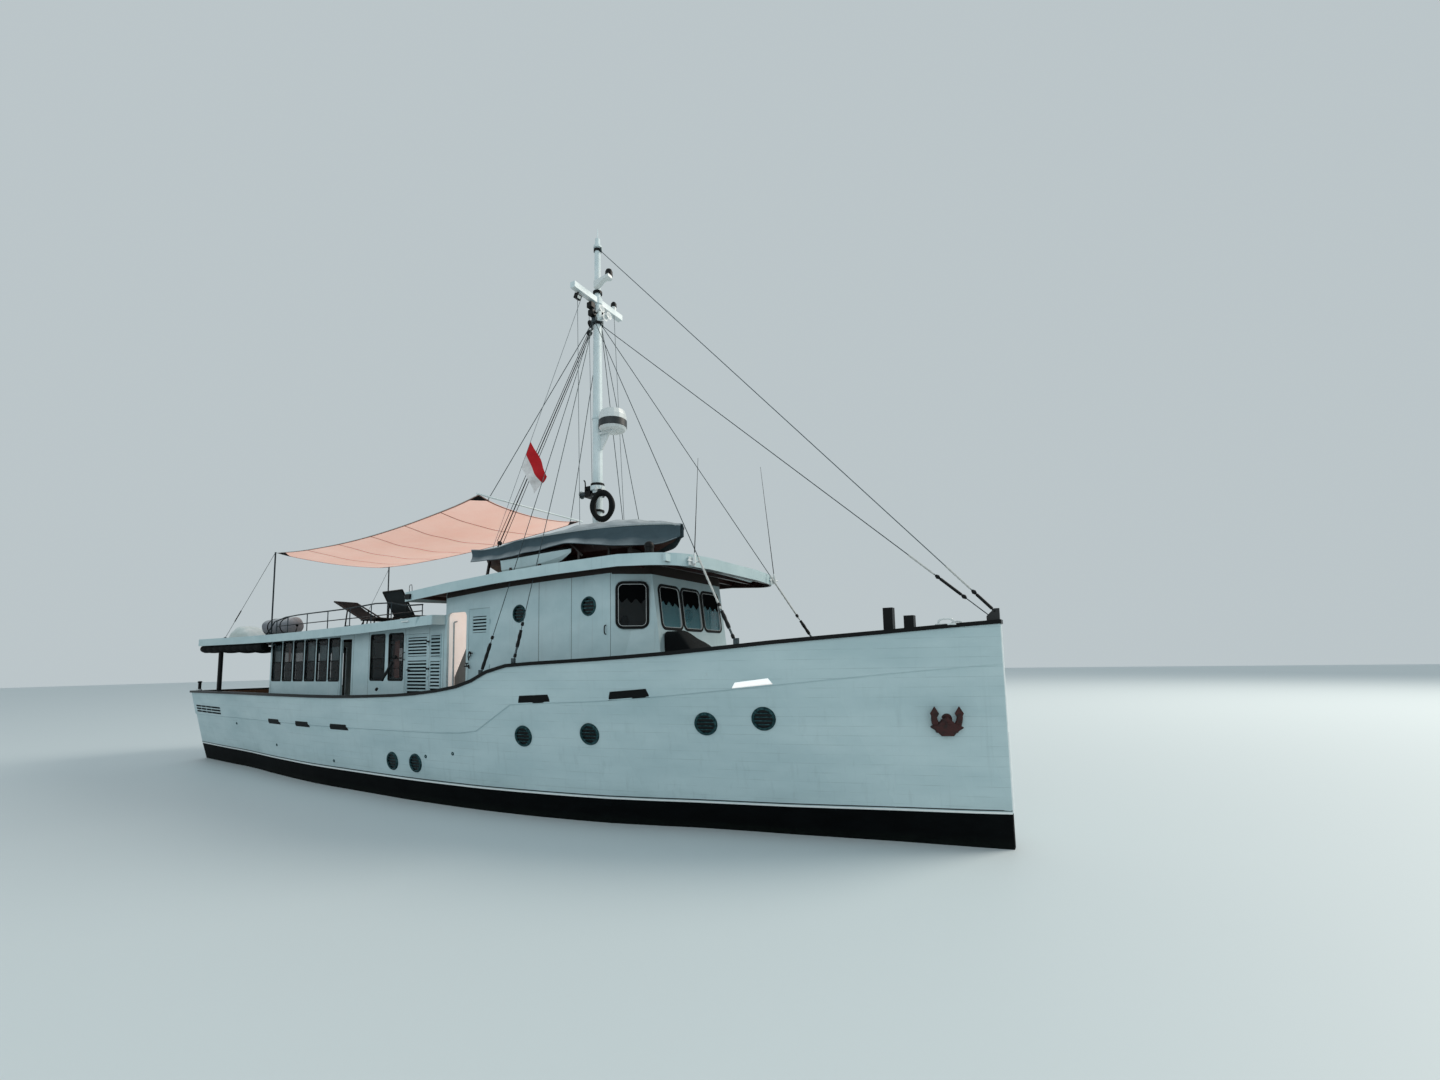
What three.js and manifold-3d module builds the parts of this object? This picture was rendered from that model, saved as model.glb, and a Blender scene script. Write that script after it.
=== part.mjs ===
import * as THREE from 'three';
import { mergeVertices } from 'three/addons/utils/BufferGeometryUtils.js';
import Module from 'manifold-3d';

// Wooden motor yacht afloat, with a raised foredeck, wheelhouse, long deckhouse and signal mast.
// Millimetres, +X forward, +Y to port, +Z up. The origin is amidships at the waterline.

const wasm = await Module();
wasm.setup();

// Driving dimensions
const gap = 0.3;                 // between pieces that touch
const bowX = 10970;
const sternX = -11200;
const strakeProud = 25;          // the upper planking stands outside the lower
const bulwarkThick = 95;
const rabbetHalf = 90;
const keelBottom = -1900;
const aftDeckZ = 1320;
const deckBreakX = 2750;         // the foredeck steps up here
const deckCamber = 40;
const capHeight = 60;
const capOut = 25;
const capIn = 115;

const houseHalf = 1650;
const wallThick = 50;
const houseAftX = -7330;
const houseForeX = 420;          // where deckhouse and wheelhouse meet
const lobbyForeX = 1130;
const panelJoinX = 5000;         // the side wall ends and the angled front panel begins
const frontHalf = 1190;
const frontTopX = 5560;
const frontTopZ = 4240;
const frontRake = 0.12;

const roofHalf = 2000;
const slabThick = 60;
const fasciaHeight = 190;
const fasciaThick = 40;
const roofCamber = 60;

const mastX = 3240;
const mastTop = 10700;
const mastFootRadius = 110;
const mastHeadRadius = 90;
const topmastRadius = 70;
const topmastTop = 12280;
const spireTop = 12540;
const houndsZ = 10300;
const wireRadius = 8;
const knuckleRadius = 9;

const shaftZ = -1150;
const sternpostX = -9000;
const rudderX = -9950;
const shaftRadius = 45;
const stockRadius = 50;
const bearingPlay = 0.9;         // on the radius, so that two 24-sided rounds never touch

// Hull lines by station
const lineNames = ['x', 'railZ', 'railY', 'stepZ', 'waterY', 'bootZ', 'rabbet', 'fullness'];
const lineRows = [
  [-11200, 2080, 2110, 1360, 1610, 470, 220, 2.2],
  [-9000, 2085, 2250, 1360, 1740, 450, 630, 2.35],
  [-8000, 2085, 2290, 1360, 1780, 440, 850, 2.4],
  [-5500, 2080, 2440, 1360, 2030, 425, 1280, 2.6],
  [-3000, 2075, 2500, 1360, 2190, 415, 1420, 2.8],
  [0, 2145, 2500, 1380, 2200, 410, 1450, 2.8],
  [1300, 2245, 2480, 1395, 2150, 410, 1450, 2.7],
  [1900, 2330, 2465, 1420, 2110, 410, 1450, 2.6],
  [2310, 2440, 2450, 1470, 2080, 410, 1445, 2.6],
  [2700, 2600, 2435, 1690, 2040, 412, 1440, 2.5],
  [3200, 2710, 2410, 1970, 1980, 415, 1430, 2.4],
  [5000, 2785, 2240, 2050, 1650, 420, 1400, 2.2],
  [6500, 2865, 1990, 2165, 1180, 430, 1360, 1.8],
  [8000, 2990, 1600, 2310, 810, 445, 1270, 1.5],
  [9500, 3105, 950, 2455, 420, 465, 1080, 1.3],
  [10500, 3190, 420, 2540, 190, 475, 760, 1.2],
  [10970, 3230, 90, 2575, 75, 480, 300, 1.1],
];

// Colours, from the photograph, in daylight
function paint(colour, roughness, metalness = 0) {
  return new THREE.MeshStandardMaterial({ color: colour, roughness, metalness });
}
const whitePaint = paint(0xe9ecea, 0.45);
const blackPaint = paint(0x14181a, 0.6);
const darkTrim = paint(0x1d2224, 0.5);
const redPrimer = paint(0x6e1f18, 0.7);
const sparWhite = paint(0xf1f2ef, 0.4);
const galvanised = paint(0x9aa3a6, 0.45, 0.9);
const bronze = paint(0xa9823f, 0.35, 1);
const teak = paint(0x6b4527, 0.65);
const canvasGrey = paint(0x66737a, 0.9);
const canvasDark = paint(0x2a3033, 0.9);
const awningCloth = paint(0xe9b6a2, 0.9);
const flagCloth = paint(0xc61f2b, 0.9);
const moulded = paint(0xdfe3e2, 0.5);
const louvreGrey = paint(0xd6dcdb, 0.5);

// A smooth curve through a column of the table that never overshoots its rows
function fair(points) {
  const n = points.length;
  const slope = points.slice(1).map((p, i) => (p[1] - points[i][1]) / (p[0] - points[i][0]));
  const tangent = points.map((_, i) => {
    if (i === 0) return slope[0];
    if (i === n - 1) return slope[n - 2];
    const a = slope[i - 1];
    const b = slope[i];
    return a * b <= 0 ? 0 : 2 * a * b / (a + b);
  });
  return (x) => {
    let i = 0;
    while (i < n - 2 && x > points[i + 1][0]) i += 1;
    const span = points[i + 1][0] - points[i][0];
    const t = Math.min(1, Math.max(0, (x - points[i][0]) / span));
    const s = 1 - t;
    return points[i][1] * (1 + 2 * t) * s * s + tangent[i] * span * t * s * s
      + points[i + 1][1] * t * t * (3 - 2 * t) - tangent[i + 1] * span * t * t * s;
  };
}

const line = {};
for (const [column, name] of lineNames.entries()) {
  line[name] = fair(lineRows.map((row) => [row[0], row[column]]));
}

// Half-breadth of the hull's skin at a station and a height
function skinY(x, z) {
  const water = line.waterY(x);
  if (z <= 0) {
    const depth = Math.min(1, -z / line.rabbet(x));
    return Math.max(rabbetHalf * water / (water + 100), water * (1 - depth ** line.fullness(x)) ** 0.625);
  }
  const rise = (z / line.railZ(x)) ** 0.9;
  const proud = z > line.stepZ(x) ? strakeProud : 0;
  return water + (line.railY(x) - strakeProud - water) * rise + proud;
}

// Solids
function solidOf(geometry) {
  const bare = geometry.clone();
  for (const name of Object.keys(bare.attributes)) {
    if (name !== 'position') bare.deleteAttribute(name);
  }
  const merged = mergeVertices(bare, 1e-3);
  return new wasm.Manifold(new wasm.Mesh({
    numProp: 3,
    vertProperties: new Float32Array(merged.attributes.position.array),
    triVerts: new Uint32Array(merged.index.array),
  }));
}

function geometryOf(solid) {
  const mesh = solid.getMesh();
  const geometry = new THREE.BufferGeometry();
  geometry.setAttribute('position', new THREE.BufferAttribute(new Float32Array(mesh.vertProperties), 3));
  geometry.setIndex(new THREE.BufferAttribute(new Uint32Array(mesh.triVerts), 1));
  geometry.computeVertexNormals();
  return geometry;
}

function joined(...solids) {
  return solids.flat().reduce((whole, next) => whole.add(next));
}

function cut(solid, ...cutters) {
  return cutters.flat().reduce((rest, cutter) => rest.subtract(cutter), solid);
}

// A piece cut to lie the gap away from another all round
function clearOf(solid, other) {
  const shifts = [[0, 0, gap], [0, 0, -gap], [0, gap, 0], [0, -gap, 0], [gap, 0, 0], [-gap, 0, 0]];
  return cut(solid, shifts.map((shift) => other.translate(shift)));
}

// What stays of a piece that stands on, or hangs against, a carrier, moved by the gap
function seated(solid, carrier, dx, dy, dz) {
  return solid.subtract(carrier.translate([dx * gap, dy * gap, dz * gap]));
}

function box(x0, x1, y0, y1, z0, z1) {
  const geometry = new THREE.BoxGeometry(x1 - x0, y1 - y0, z1 - z0);
  geometry.translate((x0 + x1) / 2, (y0 + y1) / 2, (z0 + z1) / 2);
  return solidOf(geometry);
}

// A round bar from a to b, tapering if a second radius is given
function bar(a, b, radius, sides = 8, endRadius = radius) {
  const from = new THREE.Vector3(...a);
  const to = new THREE.Vector3(...b);
  const geometry = new THREE.CylinderGeometry(endRadius, radius, from.distanceTo(to), sides);
  geometry.applyQuaternion(new THREE.Quaternion().setFromUnitVectors(
    new THREE.Vector3(0, 1, 0), to.clone().sub(from).normalize()));
  geometry.translate(...from.clone().add(to).multiplyScalar(0.5).toArray());
  return solidOf(geometry);
}

// A turned body on a vertical axis: the profile is [radius, height] pairs from axis to axis
function turned(profile, x, y, sides = 24) {
  const geometry = new THREE.LatheGeometry(profile.map((p) => new THREE.Vector2(p[0], p[1])), sides);
  geometry.rotateX(Math.PI / 2);
  geometry.translate(x, y, 0);
  return solidOf(geometry);
}

// A bent round bar through points
function pipe(points, radius, steps, sides = 8) {
  const curve = new THREE.CatmullRomCurve3(points.map((p) => new THREE.Vector3(...p)), false, 'centripetal');
  const ring = new THREE.Shape();
  ring.absarc(0, 0, radius, 0, 2 * Math.PI);
  const geometry = new THREE.ExtrudeGeometry(ring, { steps, extrudePath: curve, curveSegments: sides / 2 });
  return solidOf(geometry);
}

// A flat outline of [u, v] points given a thickness along the third axis
function slab(points, plane, from, to) {
  const shape = new THREE.Shape(points.map((p) => new THREE.Vector2(p[0], p[1])));
  return slabOf(shape, plane, from, to);
}

function slabOf(shape, plane, from, to, curveSegments = 1) {
  const geometry = new THREE.ExtrudeGeometry(shape, { depth: to - from, bevelEnabled: false, curveSegments });
  geometry.translate(0, 0, from);
  if (plane === 'xz') {
    geometry.rotateX(Math.PI / 2);
    geometry.scale(1, -1, 1);
    return solidOf(turnedInsideOut(geometry));
  }
  if (plane === 'yz') {
    geometry.applyMatrix4(new THREE.Matrix4().set(0, 0, 1, 0, 1, 0, 0, 0, 0, 1, 0, 0, 0, 0, 0, 1));
  }
  return solidOf(geometry);
}

function turnedInsideOut(geometry) {
  const flipped = geometry.index ? geometry.toNonIndexed() : geometry;
  const position = flipped.attributes.position;
  for (let i = 0; i < position.count; i += 3) {
    const second = new THREE.Vector3().fromBufferAttribute(position, i + 1);
    const third = new THREE.Vector3().fromBufferAttribute(position, i + 2);
    position.setXYZ(i + 1, third.x, third.y, third.z);
    position.setXYZ(i + 2, second.x, second.y, second.z);
  }
  return flipped;
}

// A rectangle with round corners, as a shape
function roundedRectangle(u0, u1, v0, v1, r0, r1 = r0) {
  const shape = new THREE.Shape();
  shape.moveTo(u0 + r0, v0);
  shape.lineTo(u1 - r1, v0);
  shape.absarc(u1 - r1, v0 + r1, r1, -Math.PI / 2, 0);
  shape.lineTo(u1, v1 - r1);
  shape.absarc(u1 - r1, v1 - r1, r1, 0, Math.PI / 2);
  shape.lineTo(u0 + r0, v1);
  shape.absarc(u0 + r0, v1 - r0, r0, Math.PI / 2, Math.PI);
  shape.lineTo(u0, v0 + r0);
  shape.absarc(u0 + r0, v0 + r0, r0, Math.PI, 1.5 * Math.PI);
  return shape;
}

// Rings of equal point count, joined in order and closed at both ends
function loft(rings) {
  const count = rings[0].length;
  const positions = rings.flat(2);
  const triangles = [];
  for (let i = 0; i < rings.length - 1; i += 1) {
    for (let j = 0; j < count; j += 1) {
      const a = i * count + j;
      const b = i * count + (j + 1) % count;
      triangles.push(a, b, b + count, a, b + count, a + count);
    }
  }
  for (const [ring, start, turn] of [[rings[0], 0, -1], [rings.at(-1), (rings.length - 1) * count, 1]]) {
    const flat = flattened(ring);
    for (const face of THREE.ShapeUtils.triangulateShape(flat.points, [])) {
      const order = flat.turn * turn > 0 ? face : [face[0], face[2], face[1]];
      triangles.push(...order.map((k) => start + k));
    }
  }
  const geometry = new THREE.BufferGeometry();
  geometry.setAttribute('position', new THREE.Float32BufferAttribute(positions, 3));
  geometry.setIndex(triangles);
  const solid = solidOf(geometry);
  return solid.volume() > 0 ? solid : solidOf(reversed(geometry));
}

function reversed(geometry) {
  const other = geometry.clone();
  const index = Array.from(geometry.index.array);
  for (let i = 0; i < index.length; i += 3) [index[i + 1], index[i + 2]] = [index[i + 2], index[i + 1]];
  other.setIndex(index);
  return other;
}

// A ring seen along its own normal, and which way round it runs with the loft's sides
function flattened(ring) {
  const normal = new THREE.Vector3();
  ring.forEach((p, i) => {
    const q = ring[(i + 1) % ring.length];
    normal.x += (p[1] - q[1]) * (p[2] + q[2]);
    normal.y += (p[2] - q[2]) * (p[0] + q[0]);
    normal.z += (p[0] - q[0]) * (p[1] + q[1]);
  });
  const size = [Math.abs(normal.x), Math.abs(normal.y), Math.abs(normal.z)];
  const drop = size.indexOf(Math.max(...size));
  const [u, v] = [[1, 2], [2, 0], [0, 1]][drop];
  const points = ring.map((p) => new THREE.Vector2(p[u], p[v]));
  const turn = THREE.ShapeUtils.area(points) > 0 ? 1 : -1;
  return { points, turn };
}

// The port half of a section and its mirror image, as one ring at a station
function section(x, half) {
  const port = half.map(([y, z]) => [x, y, z]);
  const starboard = half.slice().reverse().filter(([y]) => y > 0).map(([y, z]) => [x, -y, z]);
  return [...port, ...starboard];
}

function mirrored(solid) {
  return solid.mirror([0, 1, 0]);
}

// The largest body left of a piece after its cuts, without the slivers
function mainBody(solid) {
  return solid.decompose().reduce((best, next) => (next.volume() > best.volume() ? next : best));
}

const group = new THREE.Group();
const solids = {};
function add(name, solid, material) {
  solids[name] = solid;
  const mesh = new THREE.Mesh(geometryOf(solid), material);
  mesh.name = name;
  group.add(mesh);
  return solid;
}

function addPair(name, starboard, material) {
  add(`${name}_starboard`, starboard, material);
  add(`${name}_port`, mirrored(starboard), material);
}

// Stations at the table's rows, and between them no more than this far apart
function stations(from, to, spacing = 760) {
  const marks = [from, ...lineRows.map((row) => row[0]).filter((x) => x > from + 1 && x < to - 1), to];
  const all = [from];
  for (let i = 1; i < marks.length; i += 1) {
    const parts = Math.ceil((marks[i] - marks[i - 1]) / spacing);
    for (let k = 1; k <= parts; k += 1) all.push(marks[i - 1] + (marks[i] - marks[i - 1]) * k / parts);
  }
  return all;
}

// Hull: white topsides above the painted boot-top, black bottom below it
function topsides() {
  const outside = loft(stations(sternX, bowX).map((x) => {
    const step = line.stepZ(x);
    const top = line.railZ(x) - capHeight - gap;
    return section(x, [
      [skinY(x, line.bootZ(x)), line.bootZ(x)],
      [skinY(x, step), step],
      [skinY(x, step + 20), step + 20],
      [skinY(x, top), top],
    ]);
  }));
  const well = (from, to, deckZ) => loft(stations(from, to).map((x) => {
    const deck = deckZ(x);
    const over = line.railZ(x) + 200;
    return section(x, [
      [0, deck + deckCamber],
      [skinY(x, deck + 60) - bulwarkThick, deck],
      [line.railY(x) - bulwarkThick, over],
    ]);
  }));
  const aftWell = well(sternX + 150, deckBreakX, () => aftDeckZ);
  const foreWell = well(deckBreakX - 1, bowX - 560, (x) => Math.max(line.stepZ(x), 1975));
  return cut(outside, aftWell, foreWell, freeingPorts());
}

function freeingPorts() {
  // x of the middle, length, height
  const ports = [
    [3760, 700, 95], [5650, 720, 95], [7665, 620, 90],
    [-5435, 640, 80], [-3895, 660, 80], [-2250, 710, 80],
  ];
  const cutters = [];
  for (const [x, length, height] of ports) {
    const foot = x > deckBreakX ? line.stepZ(x) + 30 : aftDeckZ + 10;
    const slope = x > 0 ? (line.stepZ(x + 300) - line.stepZ(x - 300)) / 600 : 0;
    const lean = 60;
    const outline = [
      [x - length / 2, foot - slope * length / 2],
      [x + length / 2, foot + slope * length / 2],
      [x + length / 2 - lean, foot + slope * length / 2 + height],
      [x - length / 2 + lean, foot - slope * length / 2 + height],
    ];
    const reach = line.railY(x);
    const port = slab(outline, 'xz', reach - 350, reach + 150);
    cutters.push(port, mirrored(port));
  }
  return cutters;
}

function bottom() {
  const fractions = [0.25, 0.5, 0.7, 0.85, 0.94];
  return loft(stations(sternX, bowX).map((x) => {
    const depth = line.rabbet(x);
    const boot = line.bootZ(x) - gap;
    return section(x, [
      [skinY(x, boot), boot],
      [skinY(x, 0), 0],
      ...fractions.map((f) => [skinY(x, -f * depth), -f * depth]),
      [skinY(x, -depth), -depth],
    ]);
  }));
}

const hullTop = add('hull_topsides', joined(topsides(), hatchCoaming()), whitePaint);
const stockBore = bar([rudderX, 0, -1700], [rudderX, 0, 60], stockRadius + bearingPlay, 24);
const hullBottom = add('hull_bottom', cut(bottom(), stockBore), blackPaint);

function hatchCoaming() {
  return box(7050, 7750, -350, 350, 2190, 2360);
}

// Keel and deadwood under the planking, the sternpost, and the shoe that carries the rudder's heel
function keel() {
  const footZ = fair([
    [sternpostX, keelBottom], [8600, keelBottom], [9700, -1720], [10500, -1250], [10850, -750],
    [bowX, -330]]);
  const timber = loft(stations(sternpostX, bowX).map((x) => {
    const half = skinY(x, -line.rabbet(x));
    return section(x, [[half, -line.rabbet(x) - gap], [half, footZ(x)]]);
  }));
  const shoe = box(-10150, sternpostX + 50, -80, 80, keelBottom, keelBottom + 150);
  const tube = bar([sternpostX - 60, 0, shaftZ], [sternpostX + 420, 0, shaftZ], 105, 24);
  const bore = bar(
    [sternpostX - 70, 0, shaftZ], [sternpostX + 300, 0, shaftZ], shaftRadius + bearingPlay, 24);
  const socket = bar([rudderX, 0, keelBottom + 60], [rudderX, 0, keelBottom + 160], 30 + bearingPlay, 24);
  return cut(joined(timber, shoe, tube), bore, socket);
}
add('keel', keel(), blackPaint);

function propeller() {
  const hub = turned([[0, -150], [60, -140], [95, -60], [100, 60], [80, 120], [shaftRadius, 125],
    [shaftRadius, 470], [0, 470]], 0, 0, 24);
  const blade = loft([0, 1, 2, 3, 4].map((k) => {
    const r = [70, 180, 300, 410, 490][k];
    const half = [70, 135, 170, 150, 60][k];
    const pitch = Math.atan2(130, r);
    const thick = [22, 16, 12, 9, 6][k];
    const c = Math.cos(pitch);
    const s = Math.sin(pitch);
    const corners = [[-half, 0], [0, -thick], [half, 0], [0, thick]];
    return corners.map(([u, w]) => [r, u * c - w * s, u * s + w * c]);
  }));
  const blades = [0, 90, 180, 270].map((angle) => blade.rotate([0, 0, angle]));
  return joined(hub, ...blades).rotate([0, 90, 0]).translate([sternpostX - 340, 0, shaftZ]);
}
add('propeller', propeller(), bronze);

function rudder() {
  const blade = slab([[120, -1690], [-700, -1690], [-760, -1500], [-640, -620], [120, -760]], 'xz', -28, 28);
  const stock = bar([0, 0, -1700], [0, 0, 20], stockRadius, 24);
  const pin = bar([0, 0, keelBottom + 70], [0, 0, -1690], 30, 24);
  return joined(blade, stock, pin).translate([rudderX, 0, 0]);
}
add('rudder', rudder(), blackPaint);

// Rail cap all round
function railCap() {
  const ringOf = (x, half, z0, z1) => section(x, [[half, z0], [half, z1]]);
  const outer = loft(stations(sternX - 30, bowX + 20).map((x) =>
    ringOf(x, line.railY(x) + capOut, line.railZ(x) - capHeight, line.railZ(x))));
  const inner = loft(stations(sternX + 190, bowX - 620).map((x) =>
    ringOf(x, line.railY(x) - capIn, line.railZ(x) - 200, line.railZ(x) + 200)));
  return cut(outer, inner);
}
const cap = add('rail_cap', railCap(), darkTrim);

// Roofs: a cambered slab on rafters inside a fascia
function roofBody(edge, plan, inset, raftersAt) {
  const edgeZ = fair(edge);
  const xs = [];
  for (let x = edge[0][0]; x < edge.at(-1)[0]; x += 1500) xs.push(x);
  xs.push(edge.at(-1)[0]);
  const layer = (top, under) => loft(xs.map((x) => {
    const z = edgeZ(x);
    return [[-roofHalf - 50, z + top], [-900, z + top + roofCamber * 0.8], [900, z + top + roofCamber * 0.8],
      [roofHalf + 50, z + top], [roofHalf + 50, z - under], [900, z - under + roofCamber * 0.8],
      [-900, z - under + roofCamber * 0.8], [-roofHalf - 50, z - under]].map(([y, h]) => [x, y, h]);
  }));
  const slabSolid = layer(0, slabThick).intersect(plan);
  const band = layer(15, fasciaHeight).intersect(plan).subtract(inset);
  const rafters = raftersAt.map((x) => box(x - 25, x + 25, -roofHalf + 10, roofHalf - 10,
    edgeZ(x) - slabThick - 70, edgeZ(x) - 6));
  return joined(slabSolid, band, ...rafters);
}

function wheelhouseRoof() {
  const edge = [[-580, 4290], [1700, 4430], [3600, 4490], [5400, 4500], [6590, 4420]];
  const shape = (m) => roundedRectangle(-580 + m, 6590 - m, -roofHalf + m, roofHalf - m, 60, 560 - m);
  const plan = slabOf(shape(0), 'xy', 3000, 6000, 5);
  const inset = slabOf(shape(fasciaThick), 'xy', 3000, 6000, 5);
  const rafters = [];
  for (let x = -330; x < 6400; x += 480) rafters.push(x);
  return roofBody(edge, plan, inset, rafters);
}

function deckhouseRoof() {
  const edge = [[-11300, 3620], [-7200, 3600], [-3000, 3650], [houseForeX - gap, 3750]];
  const shape = (m) => roundedRectangle(
    -11300 + m, houseForeX - gap - m, -roofHalf + m, roofHalf - m, 120 - m, 20);
  const plan = slabOf(shape(0), 'xy', 3000, 6000, 2);
  const inset = slabOf(shape(fasciaThick), 'xy', 3000, 6000, 2);
  const rafters = [];
  for (let x = -10900; x < 200; x += 620) rafters.push(x);
  return roofBody(edge, plan, inset, rafters);
}

// Stays: x, y and z of the foot at the starboard rail
const shroudFeet = [
  [7500, -1700, 2950],
  [3350, -2370, 2720],
  [2510, -2400, 2520],
  [-850, -2455, 2105],
];
const shroudHead = [mastX, -mastHeadRadius - 25, houndsZ];

function shroudSlots() {
  return shroudFeet.flatMap((foot) => {
    const slot = bar(foot, shroudHead, 45, 6);
    return [slot, mirrored(slot)];
  });
}

const wheelRoof = add('wheelhouse_roof', cut(wheelhouseRoof(), shroudSlots()), whitePaint);
const deckRoof = add('deckhouse_roof', cut(deckhouseRoof(), shroudSlots()), whitePaint);

// Walls stand on the deck and reach up to the roofs
function fitted(solid) {
  let rest = seated(solid, hullTop, 0, 0, 1);
  rest = seated(rest, wheelRoof, 0, 0, -1);
  rest = seated(rest, deckRoof, 0, 0, -1);
  return mainBody(rest);
}

// Openings in the deckhouse side: x from, x to, z from, z to, corner radius
const saloonWindow = { first: -7220, pitch: 592, count: 6, width: 520, z0: 2360, z1: 3440 };
const doorway = { x0: -3690, x1: -3210, z0: 1400, z1: 3390 };
const wideWindows = [[-2400, -1810], [-1660, -1080]];
const ventDoor = { x0: -990, x1: -170, z0: 1480, z1: 3420 };
const sideDoor = { x0: 1170, x1: 1830, z0: 1480, z1: 3860 };
const passage = { x0: 470, x1: 1100, z0: 1400, z1: 3820 };

function opening(x0, x1, z0, z1, radius, outer = -houseHalf - 60, inner = -houseHalf + 200) {
  return slabOf(roundedRectangle(x0, x1, z0, z1, radius), 'xz', outer, inner);
}

function deckhouseSide() {
  const wall = box(houseAftX, houseForeX - 2 * gap, -houseHalf, -houseHalf + wallThick, 1200, 3900);
  const holes = [];
  const w = saloonWindow;
  for (let i = 0; i < w.count; i += 1) {
    const x0 = w.first + i * w.pitch;
    holes.push(opening(x0, x0 + w.width, w.z0, w.z1, 40));
  }
  for (const [x0, x1] of wideWindows) holes.push(opening(x0, x1, 2380, 3460, 40));
  holes.push(opening(doorway.x0, doorway.x1, doorway.z0, doorway.z1, 30));
  holes.push(opening(ventDoor.x0, ventDoor.x1, ventDoor.z0, ventDoor.z1, 5));
  return fitted(cut(wall, holes));
}
addPair('deckhouse_side', deckhouseSide(), whitePaint);

function deckhouseAft() {
  const half = houseHalf - wallThick - gap;
  const wall = box(houseAftX, houseAftX + wallThick, -half, half, 1200, 3900);
  const door = slabOf(roundedRectangle(-420, 420, 1420, 3340, 40), 'yz', houseAftX - 100, houseAftX + 200);
  const lights = [-1, 1].map((side) => slabOf(
    roundedRectangle(side * 1000 - 320, side * 1000 + 320, 2360, 3340, 40),
    'yz', houseAftX - 100, houseAftX + 200));
  return fitted(cut(wall, door, lights));
}
add('deckhouse_aft', deckhouseAft(), whitePaint);

// The lobby joins the two houses: its aft wall, its forward wall and the head between them
function lobby() {
  const half = houseHalf - wallThick - gap;
  const aft = box(houseForeX, houseForeX + wallThick, -half, half, 1200, 4600);
  const fore = box(lobbyForeX, lobbyForeX + wallThick, -half, half, 1200, 4600);
  const head = box(houseForeX, lobbyForeX + wallThick, -half, half, 3900, 3940);
  const aftDoor = slabOf(
    roundedRectangle(-300, 400, 1420, 3400, 30), 'yz', houseForeX - 100, houseForeX + 200);
  const foreDoor = slabOf(
    roundedRectangle(200, 900, 2050, 3850, 30), 'yz', lobbyForeX - 100, lobbyForeX + 200);
  return fitted(cut(joined(aft, fore, head), aftDoor, foreDoor));
}
add('lobby', lobby(), whitePaint);

function wheelhouseSide() {
  const wall = box(houseForeX, panelJoinX - gap, -houseHalf, -houseHalf + wallThick, 1200, 4700);
  const ports = [[2680, 3685, 150], [4475, 3720, 150]].map(([x, z, r]) =>
    bar([x, -houseHalf - 60, z], [x, -houseHalf + 200, z], r, 20));
  const pass = opening(passage.x0, passage.x1, passage.z0, passage.z1, 90);
  const door = opening(sideDoor.x0, sideDoor.x1, sideDoor.z0, sideDoor.z1, 20);
  return fitted(cut(wall, pass, door, ports));
}
addPair('wheelhouse_side', wheelhouseSide(), whitePaint);

function wheelhouseFront() {
  const frontX = (z) => frontTopX + frontRake * (frontTopZ - z);
  const planAt = (z, inset) => {
    const x = frontX(z) - inset;
    const y = frontHalf - inset * 0.6;
    const side = houseHalf - inset;
    const back = panelJoinX;
    return [[back, -side, z], [x, -y, z], [x, y, z], [back, side, z]];
  };
  const shell = loft([planAt(1800, 0), planAt(4700, 0)]);
  const hollow = loft([planAt(1700, wallThick), planAt(4800, wallThick)]);
  const mouth = box(
    panelJoinX - 10, panelJoinX + 4, -houseHalf + wallThick, houseHalf - wallThick, 1700, 4800);
  const panes = [-1, 0, 1].map((k) => slabOf(
    roundedRectangle(k * 720 - 310, k * 720 + 310, 3310, 4060, 90), 'yz', 5200, 6400));
  const sidePane = slabOf(roundedRectangle(120, 620, 3330, 4080, 90), 'xz', -200, 200);
  const angle = Math.atan2(houseHalf - frontHalf, frontX(3700) - panelJoinX) * 180 / Math.PI;
  const stbdPane = sidePane.rotate([0, 0, angle]).translate([panelJoinX, -houseHalf, 0]);
  return fitted(cut(shell, hollow, mouth, panes, stbdPane, mirrored(stbdPane)));
}
add('wheelhouse_front', wheelhouseFront(), whitePaint);

// Doors
function louvredDoor(door, blocks) {
  const clear = 6;
  const leaf = box(
    door.x0 + clear, door.x1 - clear, -houseHalf + 5, -houseHalf + 40, door.z0 + clear, door.z1 - clear);
  const slats = [];
  const recesses = [];
  for (const [x0, x1, z0, z1] of blocks) {
    recesses.push(box(x0, x1, -houseHalf, -houseHalf + 22, z0, z1));
    const count = Math.round((z1 - z0) / 75);
    for (let i = 0; i < count; i += 1) {
      const z = z0 + (i + 0.5) * (z1 - z0) / count;
      slats.push(box(x0 - 1, x1 + 1, -houseHalf + 8, -houseHalf + 25, z - 22, z + 14));
    }
  }
  return joined(cut(leaf, recesses), ...slats, ...hinges(door));
}

// Hinge knuckles outside the wall at the door's forward edge, each with its strap to the leaf
function hinges(door) {
  const pinY = -houseHalf - knuckleRadius - gap;
  return [0.12, 0.5, 0.88].flatMap((share) => {
    const z = door.z0 + share * (door.z1 - door.z0);
    return [
      bar([door.x1 + 2, pinY, z - 45], [door.x1 + 2, pinY, z + 45], knuckleRadius, 8),
      box(door.x1 - 40, door.x1 + 2, -houseHalf - 10, -houseHalf - 1, z - 20, z + 20),
      box(door.x1 - 40, door.x1 - 7, -houseHalf - 5, -houseHalf + 10, z - 20, z + 20),
    ];
  });
}
const ventDoorLouvres = [[-930, -240, 1600, 2825], [-930, -240, 2915, 3340]];
addPair('vent_door', louvredDoor(ventDoor, ventDoorLouvres), louvreGrey);
addPair('wheelhouse_door', louvredDoor(sideDoor, [[1290, 1715, 3360, 3700]]), whitePaint);

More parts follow.
